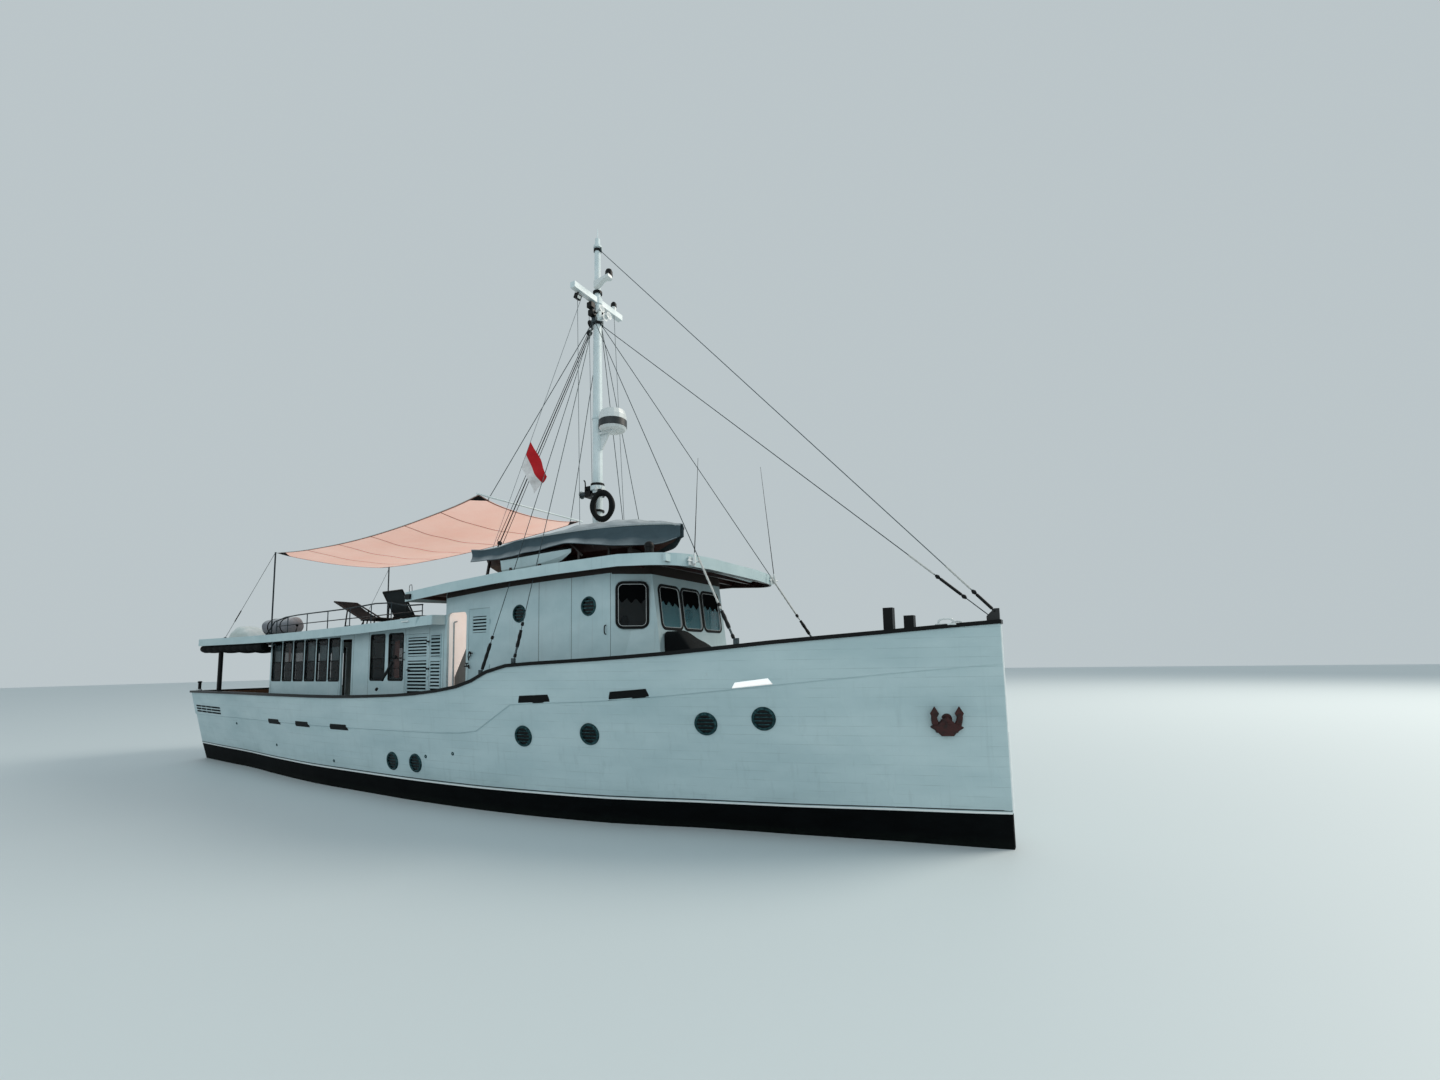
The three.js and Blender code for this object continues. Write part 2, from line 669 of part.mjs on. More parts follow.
// The saloon door stands open, swung inwards at its forward edge
function saloonDoor() {
  const inner = -houseHalf + wallThick;
  const leaf = box(doorway.x1 + 6, doorway.x1 + 44, inner + 6, inner + 476, 1400, 3370);
  const pinY = inner + 6 + gap;
  const knuckles = [1640, 2400, 3130].flatMap((z) => [
    bar([doorway.x1, pinY, z - 40], [doorway.x1, pinY, z + 40], 6, 8),
    box(doorway.x1, doorway.x1 + 8, pinY + 1, pinY + 14, z - 20, z + 20),
  ]);
  return joined(leaf, ...knuckles);
}
addPair('saloon_door', saloonDoor(), whitePaint);

// Steps from the lobby up to the wheelhouse floor
function lobbySteps() {
  const steps = [0, 1, 2].map((i) =>
    box(lobbyForeX + wallThick + 20 + i * 250, lobbyForeX + wallThick + 780, 220, 880, 1280, 1520 + i * 200));
  return fitted(joined(...steps));
}
add('lobby_steps', lobbySteps(), teak);

function helmConsole() {
  const body = box(4950, 5350, -500, 500, 1900, 3000);
  const dash = slab([[4850, 2950], [5450, 2950], [5450, 3120], [5300, 3200], [4900, 3020]], 'xz', -800, 800);
  return fitted(joined(body, dash));
}
const consoleSolid = add('helm_console', helmConsole(), teak);

const helmX = 4800;
const helmZ = 2800;
function helmWheel() {
  const rim = new THREE.TorusGeometry(300, 16, 5, 14);
  rim.rotateY(Math.PI / 2);
  const spokes = [0, 1, 2, 3, 4, 5].map((i) => {
    const a = i * Math.PI / 3;
    return bar([0, 0, 0], [0, 380 * Math.cos(a), 380 * Math.sin(a)], 12, 4);
  });
  const hub = bar([-30, 0, 0], [170, 0, 0], 45, 10);
  return joined(solidOf(rim), hub, ...spokes).translate([helmX, 0, helmZ]);
}
add('helm_wheel', helmWheel().subtract(consoleSolid.translate([-gap, 0, 0])), teak);

// Posts under the after end of the boat deck, and the seat along the stern rail
function aftPost() {
  return fitted(bar([-10000, -1840, 1200], [-10000, -1840, 3900], 60, 12));
}
addPair('aft_post', aftPost(), darkTrim);

function sternBench() {
  const seat = box(-10780, -10300, -1500, 1500, 1700, 1760);
  const legs = [-1400, 0, 1400].map((y) => box(-10740, -10340, y - 25, y + 25, 1250, 1720));
  const back = box(-10780, -10740, -1500, 1500, 1740, 2040);
  return fitted(joined(seat, back, ...legs));
}
add('stern_bench', sternBench(), teak);

// Foredeck gear
function foreBitts() {
  const posts = [[9290, 3500], [9610, 3360]].map(([x, top]) => box(x, x + 150, -75, 75, 2300, top));
  const beam = box(9230, 9820, -55, 55, 2950, 3070);
  return fitted(joined(...posts, beam));
}
add('fore_bitts', foreBitts(), redPrimer);

function windlass() {
  const bed = box(8350, 8850, -420, 420, 2300, 2450);
  const cheeks = [-300, 300].map((y) => box(8450, 8750, y - 40, y + 40, 2400, 2780));
  const drum = bar([8600, -480, 2640], [8600, 480, 2640], 110, 10);
  const heads = [-1, 1].map((s) => bar([8600, s * 480, 2640], [8600, s * 560, 2640], 150, 10));
  return fitted(joined(bed, ...cheeks, drum, ...heads));
}
add('windlass', windlass(), galvanised);

add('fore_hatch_lid', box(7030, 7770, -370, 370, 2360 + gap, 2410), teak);

function deckLocker() {
  const outline = [[5900, 2000], [6800, 2000], [6800, 2560], [6000, 3230], [5780, 3230]];
  return fitted(slab(outline, 'xz', -1050, 1050).subtract(
    loft([[[4900, -1650, 1800], [5870 + gap, -1190, 1800], [5870 + gap, 1190, 1800], [4900, 1650, 1800]],
      [[4900, -1650, 4700], [5522, -1190, 4700], [5522, 1190, 4700], [4900, 1650, 4700]]])));
}
add('deck_locker', deckLocker(), canvasDark);

// Anchors lie with the crown against the bow planking
function anchor() {
  const x = 10210;
  const z = 1760;
  const skin = -skinY(x, z);
  const shank = bar([x, skin + 60, z + 120], [x, skin - 60, z - 60], 45, 10);
  const crown = bar([x - 130, skin - 85, z - 90], [x + 130, skin - 85, z - 90], 60, 10);
  const flukes = [-1, 1].map((s) => loft([
    [[x + s * 60, skin - 130, z - 110], [x + s * 150, skin - 130, z - 110], [x + s * 150, skin - 40, z - 110],
      [x + s * 60, skin - 40, z - 110]],
    [[x + s * 90, skin - 140, z + 90], [x + s * 215, skin - 140, z + 90], [x + s * 215, skin - 70, z + 90],
      [x + s * 90, skin - 70, z + 90]],
    [[x + s * 120, skin - 110, z + 230], [x + s * 130, skin - 110, z + 230],
      [x + s * 130, skin - 90, z + 230], [x + s * 120, skin - 90, z + 230]],
  ]));
  const whole = joined(shank, crown, ...flukes);
  return mainBody(seated(whole, hullTop, 0.6, -1.2, 0));
}
addPair('anchor', anchor(), redPrimer);

// Mast and what it carries
function mast() {
  const z0 = 4400;
  const pole = turned([[0, z0], [mastFootRadius, z0], [mastFootRadius, 8000], [mastHeadRadius, houndsZ],
    [mastHeadRadius, mastTop], [0, mastTop]], mastX, 0, 16);
  const shoe = turned([[0, z0], [190, z0], [190, 4640], [150, 4680], [0, 4680]], mastX, 0, 12);
  const bands = [[6430, 160, 90], [8030, 125, 40]].map(([z, r, h]) =>
    turned([[0, z], [r, z], [r, z + h], [0, z + h]], mastX, 0, 12));
  return mainBody(seated(joined(pole, shoe, ...bands), wheelRoof, 0, 0, 1));
}
const mastSolid = add('mast', mast(), sparWhite);

const topmastZ = mastTop + gap;
const topmastSolid = add('topmast', turned([
  [0, topmastZ], [topmastRadius, topmastZ], [topmastRadius, 12060], [95, 12062], [95, 12110],
  [60, 12112], [55, topmastTop], [12, topmastTop + 20], [8, spireTop], [0, spireTop],
], mastX, 0, 12), sparWhite);

function crosstree() {
  const beam = box(mastX - 65, mastX + 65, -800, 800, topmastZ, topmastZ + 130);
  const hole = bar([mastX, 0, topmastZ - 10], [mastX, 0, topmastZ + 200], topmastRadius + 1.2, 12);
  return cut(joined(beam, bar([mastX, 0, topmastZ], [mastX, 0, topmastZ + 130], 110, 12)), hole);
}
const crosstreeSolid = add('crosstree', crosstree(), sparWhite);

function radar() {
  const dome = turned([[0, 7690], [262, 7690], [300, 7735], [300, 8000], [262, 8110], [140, 8160], [0, 8170]],
    3672, 0, 16);
  const tray = box(3300, 3720, -80, 80, 7650, 7695);
  const web = slab([[3330, 7330], [3390, 7330], [3580, 7660], [3330, 7660]], 'xz', -20, 20);
  return mainBody(seated(joined(dome, tray, web), mastSolid, 1, 0, 0));
}
add('radar', radar(), moulded);

// Shrouds, with a strop from the aftermost to the awning's fore corner
const awningFore = [1270, -1550, 6300];
function shrouds() {
  const head = new THREE.Vector3(...shroudHead);
  const parts = [
    box(mastX - 60, mastX + 60, shroudHead[1] - 20, shroudHead[1] + 30, houndsZ - 60, houndsZ + 60)];
  for (const foot of shroudFeet) {
    const end = new THREE.Vector3(...foot);
    const along = head.clone().sub(end).normalize();
    parts.push(bar(foot, shroudHead, wireRadius, 6));
    const screwTop = end.clone().addScaledVector(along, 620).toArray();
    const screwFoot = end.clone().addScaledVector(along, 160).toArray();
    parts.push(bar(screwFoot, screwTop, 20, 6));
    parts.push(box(foot[0] - 45, foot[0] + 45, foot[1] - 15, foot[1] + 15, foot[2] - 120, foot[2] + 90));
  }
  const aftFoot = new THREE.Vector3(...shroudFeet[3]);
  const reach = (awningFore[2] + 20 - aftFoot.z) / (head.z - aftFoot.z);
  const tie = aftFoot.lerp(head, reach).toArray();
  const corner = [awningFore[0], awningFore[1], awningFore[2] + 10];
  parts.push(bar(tie, corner, 6, 6));
  let whole = joined(...parts);
  whole = whole.subtract(cap.translate([0, 0, gap])).subtract(hullTop.translate([0, 0, gap]));
  whole = whole.subtract(bar([mastX, 0, 9000], [mastX, 0, 10699], mastFootRadius - 10, 20));
  return mainBody(whole);
}
const awningSolid = awning();
const shroudBlank = mainBody(shrouds().subtract(mastSolid.translate([0, -gap, 0])));
add('shrouds_starboard', mainBody(clearOf(shroudBlank, awningSolid)), galvanised);
add('shrouds_port', mainBody(clearOf(mirrored(shroudBlank), awningSolid)), galvanised);

function forestay(topZ, foot) {
  const top = [mastX + 60, 0, topZ];
  const wire = bar(top, foot, wireRadius, 6);
  const eye = box(mastX + 40, mastX + 130, -12, 12, topZ - 50, topZ + 40);
  return joined(wire, eye);
}
const stemHead = [10930, 0, 3330];
const stemFitting = slab(
  [[10790, 3100], [10965, 3100], [10965, 3400], [10900, 3400], [10790, 3290]], 'xz', -28, 28);
add('forestay_upper', mainBody(seated(joined(forestay(12000, stemHead), stemFitting), cap, 0, 0, 1)
  .subtract(topmastSolid.translate([gap, 0, 0]))), galvanised);
add('forestay_lower', mainBody(forestay(houndsZ - 60, [10835, 0, 3290])
  .subtract(stemFitting.translate([0, 0, gap])).subtract(mastSolid.translate([gap, 0, 0]))), galvanised);

// Awning: a thin sheet between four corners, hollow along its edges and sagging
function awning() {
  const aftX = -7260;
  const foreX = awningFore[0];
  const rings = [];
  for (let i = 0; i <= 10; i += 1) {
    const t = i / 10;
    const x = aftX + (foreX - aftX) * t;
    const half = (1660 + (1550 - 1660) * t) - 160 * 4 * t * (1 - t);
    const edge = 5960 + 340 * t - 170 * 4 * t * (1 - t);
    const ys = [-1, -0.5, 0, 0.5, 1];
    const under = (u) => edge - 130 * (1 - u * u);
    rings.push([...ys.map((u) => [x, u * half, under(u)]),
      ...ys.slice().reverse().map((u) => [x, u * half, under(u) + 12])]);
  }
  return loft(rings);
}
add('awning', awningSolid, awningCloth);

function awningPole() {
  const pole = bar([-7290, -1685, 3500], [-7290, -1685, 5990], 20, 10);
  const foot = bar([-7290, -1685, 3500], [-7290, -1685, 3680], 55, 10);
  return fitted(joined(pole, foot).subtract(deckRoof.translate([0, 0, gap]))).subtract(awningSolid);
}
addPair('awning_pole', awningPole(), galvanised);

// Boats on the wheelhouse roof: the keel lifts to the stem with a power of the length, blunt where it is high
function boatHull(x0, x1, y, half, keelZ, gunwaleZ, sweep) {
  const rings = [];
  for (let i = 0; i <= 8; i += 1) {
    const t = 1 - (1 - i / 8) ** 1.5;
    const x = x0 + (x1 - x0) * t;
    const b = half * Math.max(0.06, (1 - t ** 4)) * (0.86 + 0.14 * Math.min(1, t * 3));
    const k = keelZ + (gunwaleZ - keelZ) * 0.9 * t ** sweep;
    const g = gunwaleZ + 30 * t * t;
    rings.push([[x, y, k], [x, y + b * 0.75, k + (g - k) * 0.35], [x, y + b, g],
      [x, y - b, g], [x, y - b * 0.75, k + (g - k) * 0.35]]);
  }
  return loft(rings);
}
const tenderY = -720;
const tenderSolid = boatHull(1060, 5930, tenderY, 560, 4700, 5110, 14);
add('tender', tenderSolid, whitePaint);

const coverY = -860;
const coverTop = fair([[1000, 5190], [1450, 5130], [1950, 5130], [2550, 5210], [3150, 5310], [3900, 5380],
  [4450, 5395], [5200, 5330], [5700, 5240], [5990, 5150]]);
const coverHem = fair([[1000, 4890], [1700, 4860], [2200, 4850], [2700, 4880], [3200, 4900], [3750, 4970],
  [4200, 4910], [4800, 4820], [5200, 4780], [5700, 4780], [5990, 4960]]);
function tenderCover() {
  const rings = [];
  for (let i = 0; i <= 16; i += 1) {
    const t = 1 - (1 - i / 16) ** 1.3;
    const x = 1000 + 4990 * t;
    const b = 735 * Math.max(0.08, (1 - t ** 6)) * (0.88 + 0.12 * Math.min(1, t * 3));
    const top = coverTop(x);
    const shoulder = Math.min(5165, top - 30);
    rings.push([
      [1, coverHem(x)], [0.98, shoulder], [0.55, top - 30], [0, top], [-0.55, top - 30], [-0.98, shoulder],
      [-1, coverHem(x)]].map(([share, z]) => [x, coverY + b * share, z]));
  }
  return loft(rings);
}
const dinghySolid = seated(boatHull(2010, 3840, -1440, 150, 4500, 4840, 4), wheelRoof, 0, 0, 1);
add('dinghy', dinghySolid, whitePaint);
const coverBlank = mainBody(clearOf(clearOf(tenderCover(), tenderSolid), dinghySolid));
add('tender_cover', coverBlank, canvasGrey);

function boatChocks() {
  const beam = box(1500, 5200, tenderY - 20, tenderY + 20, 4400, 4690);
  const saddles = [1700, 3500, 5000].map((x) =>
    box(x - 30, x + 30, tenderY - 420, tenderY + 420, 4400, 4860));
  const low = [2300, 3100].map((x) => box(x - 30, x + 30, -1560, tenderY, 4380, 4640));
  const blank = joined(beam, ...saddles, ...low);
  const onRoof = seated(blank, wheelRoof, 0, 0, 1);
  return mainBody(clearOf(clearOf(clearOf(onRoof, tenderSolid), coverBlank), dinghySolid));
}
add('boat_chocks', boatChocks(), redPrimer);

// The tackle from the mast to the tender's after lifting eye, its four parts as one bundle
const tackleTop = [mastX - 160, -30, 10170];
const tackleFoot = [1150, -900, 5420];
function tackle() {
  const at = (t) => new THREE.Vector3(...tackleFoot).lerp(new THREE.Vector3(...tackleTop), t).toArray();
  const upper = bar(at(0.965), at(0.995), 55, 10);
  const lower = bar(at(0.02), at(0.05), 50, 10);
  const falls = bar(at(0.03), at(0.98), 20, 6);
  const hook = bar([tackleFoot[0], tackleFoot[1], 5100], at(0.03), 14, 6);
  const strap = box(mastX - 200, mastX - 60, -45, 0, 10140, 10200);
  return mainBody(joined(falls, upper, lower, hook, strap)
    .subtract(mastSolid.translate([-gap, 0, 0])).subtract(coverBlank.translate([0, 0, gap])));
}
add('lifting_tackle', tackle(), canvasGrey);

// Signal halyard and the flag that hangs on it
const halyardTop = [mastX - 40, -450, 10720];
const halyardFoot = [1080, -1050, 5120];
function halyard() {
  const wire = bar(halyardFoot, halyardTop, 5, 6);
  return mainBody(cut(wire, coverBlank.translate([0, 0, gap]), crosstreeSolid.translate([0, 0, -gap])));
}
add('signal_halyard', halyard(), canvasGrey);

function flag() {
  const at = (t) => new THREE.Vector3(...halyardFoot).lerp(new THREE.Vector3(...halyardTop), t);
  const low = at(0.30);
  const high = at(0.47);
  const ring = (p, drop) => [[p.x + 6, p.y - 6, p.z], [p.x + 6, p.y + 6, p.z],
    [p.x + 330, p.y + 70, p.z - drop], [p.x + 330, p.y + 58, p.z - drop]];
  return loft([ring(low, 260), ring(high, 420)]);
}
add('flag', flag().subtract(halyard()), flagCloth);

// Boat deck: rails, two loungers and the covered raft canister
const deckTop = (x) => fair([[-11300, 3620], [-7200, 3600], [-3000, 3650], [houseForeX - gap, 3750]])(x);
function roofRail() {
  const y = -1900;
  const height = 460;
  const rise = (x) => [x, y, deckTop(x) + height];
  const top = pipe([
    [-7080, y, deckTop(-7080) + 20], [-6950, y, deckTop(-6950) + 200], [-6500, y, deckTop(-6500) + 400],
    rise(-5900), rise(-3000),
    rise(-1400), [-700, y, 4040], [-40, y, 4020]], 17, 12, 6);
  const middle = bar([-6500, y, deckTop(-6500) + 235], [-40, y, deckTop(-40) + 150], 12, 4);
  const posts = [];
  for (const x of [-5900, -4900, -3900, -2900, -2000, -1200]) {
    posts.push(bar([x, y, deckTop(x) - 100], [x, y, deckTop(x) + height - 4], 13, 4));
  }
  posts.push(bar([-50, y, 3600], [-50, y, 4024], 13, 4));
  const tail = bar([-6500, y, deckTop(-6500) - 100], [-6500, y, deckTop(-6500) + 402], 13, 4);
  const foot = bar([-7080, y, deckTop(-7080) - 100], [-7080, y, deckTop(-7080) + 40], 17, 6);
  const whole = joined(top, middle, ...posts, tail, foot);
  return mainBody(seated(whole, deckRoof, 0, 0, 1));
}
addPair('roof_rail', roofRail(), galvanised);

// A low deck chair lies along +X from its hinge, its back rising towards -X, and is turned about the hinge
function lounger({ at, turn, half, back, seat }) {
  const z = deckTop(at[0]) + 150;
  const [run, rise] = back;
  const bed = box(-20, seat, -half, half, z, z + 45);
  const rest = slab([[0, z], [0, z + 45], [-run, z + rise + 45], [-run, z + rise]], 'xz', -half, half);
  const legs = [[50, -1], [50, 1], [seat - 60, -1], [seat - 60, 1]].map(([x, s]) =>
    box(x - 22, x + 22, s * (half - 25) - 22, s * (half - 25) + 22, z - 300, z + 10));
  const props = [-1, 1].map((s) =>
    bar(
      [-run * 0.55, s * (half - 25), z + rise * 0.55 + 10], [-run * 0.62, s * (half - 25), z - 300], 18, 6));
  const whole = joined(bed, rest, ...legs, ...props).rotate([0, 0, turn]).translate([at[0], at[1], 0]);
  return mainBody(seated(whole, deckRoof, 0, 0, 1));
}
add('lounger_aft', lounger({ at: [-2980, -1250], turn: 0, half: 300, back: [1340, 540], seat: 640 }), teak);
add('lounger_fore', lounger({ at: [-1720, -1290], turn: 90, half: 400, back: [330, 590], seat: 660 }), teak);

function canister() {
  const body = bar([-8350, -1300, 3900], [-6700, -1300, 3900], 235, 16);
  const cradle = [-7950, -7100].map((x) => box(x - 40, x + 40, -1500, -1100, 3500, 3760));
  return mainBody(seated(joined(body, ...cradle), deckRoof, 0, 0, 1));
}
add('raft_canister', canister(), canvasGrey);

export default group;
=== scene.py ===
import bmesh
import bpy
import numpy as np
from mathutils import Matrix, Vector


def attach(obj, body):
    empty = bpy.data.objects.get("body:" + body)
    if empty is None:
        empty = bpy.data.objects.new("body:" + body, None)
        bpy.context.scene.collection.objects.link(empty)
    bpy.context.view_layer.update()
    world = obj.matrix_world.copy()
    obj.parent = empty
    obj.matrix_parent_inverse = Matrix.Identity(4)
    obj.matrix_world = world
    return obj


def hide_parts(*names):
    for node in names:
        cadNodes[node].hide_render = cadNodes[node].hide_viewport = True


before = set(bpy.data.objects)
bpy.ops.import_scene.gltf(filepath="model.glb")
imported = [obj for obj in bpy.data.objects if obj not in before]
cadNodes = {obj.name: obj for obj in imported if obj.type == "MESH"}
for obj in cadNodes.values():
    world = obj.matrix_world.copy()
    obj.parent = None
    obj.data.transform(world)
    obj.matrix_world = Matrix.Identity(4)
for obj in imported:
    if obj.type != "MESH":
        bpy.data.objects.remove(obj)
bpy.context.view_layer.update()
print("yacht: packed model loaded,", len(cadNodes), "nodes")

tau = 2 * np.pi
collection = bpy.context.scene.collection


def toLinear(hexColour):  # sRGB hex to linear RGBA
    part = np.array([int(hexColour[i:i + 2], 16) for i in (1, 3, 5)]) / 255
    part = np.where(part <= 0.04045, part / 12.92, ((part + 0.055) / 1.055) ** 2.4)
    return (*part.tolist(), 1.0)


# A material being built: node() adds a shader node and returns it, put() fills one of its sockets, done()
# returns the material, and the other methods return the outputs of the nodes that they add
class Finish:
    def __init__(self, name):
        self.material = bpy.data.materials.new(name)
        self.material.use_nodes = True
        self.tree = self.material.node_tree
        self.tree.nodes.clear()
        self.shader = self.node("BsdfPrincipled", {})
        self.node("OutputMaterial", {"Surface": self.shader.outputs[0]})
        self.place = self.node("TexCoord", {}).outputs["Object"]
        self.axes = self.node("SeparateXYZ", {0: self.place}).outputs

    def put(self, socket, value):  # link a socket or set its constant; a colour is hex text
        if isinstance(value, bpy.types.NodeSocket):
            self.tree.links.new(value, socket)
        else:
            socket.default_value = toLinear(value) if isinstance(value, str) else value

    def node(self, kind, inputs, **settings):
        node = self.tree.nodes.new("ShaderNode" + kind)
        for key, value in settings.items():
            setattr(node, key, value)
        for key, value in inputs.items():
            self.put(node.inputs[key], value)
        return node

    def math(self, operation, *values):
        return self.node("Math", dict(enumerate(values)), operation=operation).outputs[0]

    def times(self, *values):
        return self.math("MULTIPLY", *values)

    def ramp(self, value, low, high, start=0.0, end=1.0):
        return self.node("MapRange", {0: value, 1: low, 2: high, 3: start, 4: end}).outputs[0]

    def blend(self, amount, under, over, mode="MIX"):
        sockets = {0: amount, 6: under, 7: over}
        return self.node("Mix", sockets, data_type="RGBA", blend_type=mode).outputs[2]

    # Noise on stretched Object coordinates, cut to a mask between low and high
    def patches(self, stretch, scale, low, high, detail=4.0):
        stretch = (1, 1, 1) if stretch == 1 else stretch
        turn = self.node("Mapping", {"Vector": self.place, "Scale": stretch}).outputs[0]
        noise = self.node("TexNoise", {"Vector": turn, "Scale": scale, "Detail": detail, "Roughness": 0.6})
        return self.ramp(noise.outputs["Fac"], low, high)

    # 1 on lines of the given width that repeat at the pitch along one coordinate, else 0
    def seams(self, coordinate, pitch, width):
        return self.ramp(self.math("PINGPONG", coordinate, pitch / 2), 0.0, width, 1.0, 0.0)

    def weave(self, direction, scale, distortion=0.0):
        sockets = {"Vector": self.place, "Scale": scale, "Distortion": distortion}
        return self.node("TexWave", sockets, bands_direction=direction).outputs["Fac"]

    def normal(self):  # x, y and z of the surface normal
        return self.node("SeparateXYZ", {0: self.node("NewGeometry", {}).outputs["Normal"]}).outputs

    def upward(self, low, high):  # 0 on faces that look up less than low, 1 above high
        return self.ramp(self.normal()[2], low, high)

    # The shader's own sockets, and a bump as height, strength and distance
    def done(self, colour, rough, bump=None, shine=None, metal=None, glow=None, alpha=None, sheen=None):
        values = {"Base Color": colour, "Roughness": rough, "Specular IOR Level": shine, "Metallic": metal,
                  "Emission Strength": glow, "Emission Color": glow and colour, "Alpha": alpha,
                  "Sheen Weight": sheen}
        for key, value in values.items():
            if value is not None:
                self.put(self.shader.inputs[key], value)
        if bump:
            sockets = dict(zip(("Height", "Strength", "Distance"), bump))
            self.put(self.shader.inputs["Normal"], self.node("Bump", sockets).outputs[0])
        return self.material


# Brushed marine enamel on timber planking: pale coat, faint plank seams, chalky patches, run marks;
# the decks inside the bulwarks are laid teak, caulked in black
# The white coat is greyed and tinted blue-grey as painted shade
enamel = {"paint": "#bdd1d4", "chalk": "#abc2c6", "dirt": "#71878a", "rust": "#7a4a30", "grime": "#7f8a84",
          "plankPitch": 0.142, "deckPitch": 0.11, "teak": "#8d7558", "teakDark": "#6b563e",
          "caulk": "#1d1b18"}


def plankEnamel():
    m, e = Finish("planking_enamel"), enamel
    chalk = m.patches((0.35, 0.35, 1.1), 1.6, 0.35, 0.75)
    seams = m.times(m.seams(m.axes[2], e["plankPitch"], 0.006), m.patches((0.7, 0.7, 6.0), 2.2, 0.42, 0.6))
    colour = m.blend(m.times(seams, 0.38), m.blend(chalk, e["paint"], e["chalk"]), e["dirt"])
    runs = m.times(m.patches((7.0, 7.0, 0.22), 1.5, 0.56, 0.80), m.ramp(m.axes[2], 2.6, 0.5, 0.07, 0.24))
    colour = m.blend(runs, colour, e["dirt"])
    rust = m.patches((9.0, 9.0, 0.30), 1.1, 0.70, 0.86)
    colour = m.blend(m.times(rust, 0.22), colour, e["rust"])
    colour = m.blend(m.times(m.ramp(m.axes[2], 0.42, 0.75, 0.35, 0.0), chalk), colour, e["grime"])
    teak = m.blend(m.patches((1.2, 26.0, 26.0), 3.0, 0.3, 0.7), e["teak"], e["teakDark"])
    teak = m.blend(m.seams(m.axes[1], e["deckPitch"], 0.006), teak, e["caulk"])
    deck = m.upward(0.80, 0.9)
    rough = m.math("MAXIMUM", m.ramp(chalk, 0.0, 1.0, 0.38, 0.55), m.times(deck, 0.7))
    wave = m.patches((0.5, 0.5, 2.0), 1.4, 0.2, 0.8, 2.0)
    height = m.math("SUBTRACT", m.times(wave, 0.5), seams)
    return m.done(m.blend(deck, colour, teak), rough, (height, 0.35, 0.004))


# Matt antifouling: dull black, with a green-grey slime line where the water stands
def antifouling():
    m = Finish("antifouling_black")
    mottle = m.patches((1, 1, 2.5), 2.4, 0.35, 0.7)
    weed = m.times(m.ramp(m.axes[2], 0.16, 0.0, 0.0, 0.7), m.patches((2, 2, 5), 6.0, 0.3, 0.7))
    colour = m.blend(weed, m.blend(mottle, "#050708", "#0a0d0e"), "#1a211c")
    colour = m.blend(m.times(m.patches((3, 3, 16), 2.0, 0.72, 0.84), 0.35), colour, "#4c5355")
    return m.done(colour, 0.72, (mottle, 0.25, 0.004), shine=0.05)


# Painted marine plywood: flat white panels, faint roller texture, thin dirt runs from the eaves
def housePaint(name, paint, shade, runAmount=0.3):
    m = Finish(name)
    chalk = m.patches((0.8, 0.8, 1.2), 1.8, 0.35, 0.75)
    runs = m.patches((11.0, 11.0, 0.3), 1.7, 0.58, 0.82)
    colour = m.blend(m.times(runs, runAmount), m.blend(chalk, paint, shade), "#8a9290")
    roller = m.patches(1, 90.0, 0.3, 0.7, 2.0)
    return m.done(colour, m.ramp(chalk, 0.0, 1.0, 0.36, 0.52), (roller, 0.12, 0.002))


# White paint inside the lobby, with a painted glow that stands in for the daylight filling it from the other
# side
def innerWhite():
    m = Finish("cabin_inner_white")
    return m.done(m.blend(m.patches(1, 1.4, 0.35, 0.75), "#f1e8e2", "#e6dcd6"), 0.5, glow=0.30)


# Painted light: the white flap glows for the daylight that shows through its freeing port
def sunlitWhite():  # the one white flap that daylight shines through
    return Finish("flap_sunlit_white").done("#ffffff", 0.4, glow=0.45)


# Roofs: white fascia, sanded buff paint on top, dark boards and beams underneath, their darkness partly
# stain and partly painted shade under the roof
# The white fascia paint is greyed and tinted blue-grey as painted shade
roofPaint = {"paint": "#bdd2d5", "chalk": "#a9c2c6", "dirt": "#6f8285", "top": "#aeb0a8", "sand": "#8e9089",
             "stain": "#85867e", "gap": "#0a0504"}


def roofFinish(name, aftEnd, foreEnd, board, boardDark):
    m, r = Finish(name), roofPaint
    chalk = m.patches((0.8, 0.8, 1.2), 1.6, 0.35, 0.75)
    runs = m.patches((10.0, 10.0, 0.4), 1.8, 0.58, 0.8)
    colour = m.blend(m.times(runs, 0.3), m.blend(chalk, r["paint"], r["chalk"]), r["dirt"])
    # Underneath: dark boards with dark gaps, the boards' darkness partly painted shade under the roof
    under = m.blend(m.patches((1.5, 20.0, 20.0), 2.6, 0.3, 0.7), board, boardDark)
    under = m.blend(m.seams(m.axes[1], 0.13, 0.006), under, r["gap"])
    # outside faces look away from the middle line, or stand at the two ends
    ahead, aside, upright = m.normal()
    outside = m.math("GREATER_THAN", m.times(aside, m.axes[1]), 0.2)
    atAft = m.math("LESS_THAN", m.axes[0], aftEnd + 0.05)
    atFore = m.times(m.math("GREATER_THAN", m.axes[0], foreEnd - 0.40), m.math("GREATER_THAN", ahead, 0.12))
    outside = m.math("MAXIMUM", outside, m.math("MAXIMUM", atAft, atFore))
    colour = m.blend(m.times(outside, m.math("GREATER_THAN", upright, -0.5)), under, colour)
    sand = m.patches(1, 60.0, 0.3, 0.7, 2.0)
    top = m.blend(m.times(sand, 0.4), r["top"], r["sand"])
    top = m.blend(m.times(m.patches(1, 0.9, 0.45, 0.75), 0.5), top, r["stain"])
    upward = m.upward(0.6, 0.8)
    rough = m.math("ADD", 0.4, m.times(upward, 0.35))
    return m.done(m.blend(upward, colour, top), rough, (m.times(sand, upward), 0.5, 0.002))


# Nearly black gloss paint on hardwood rails, rubbed grey where hands and lines pass
def railPaint():
    m = Finish("rail_gloss_black")
    worn = m.patches((1.0, 4.0, 4.0), 3.0, 0.62, 0.78)
    colour = m.blend(m.times(worn, 0.5), "#060809", "#1c2020")
    return m.done(colour, m.ramp(worn, 0.0, 1.0, 0.40, 0.6), (worn, 0.3, 0.003), shine=0.18)


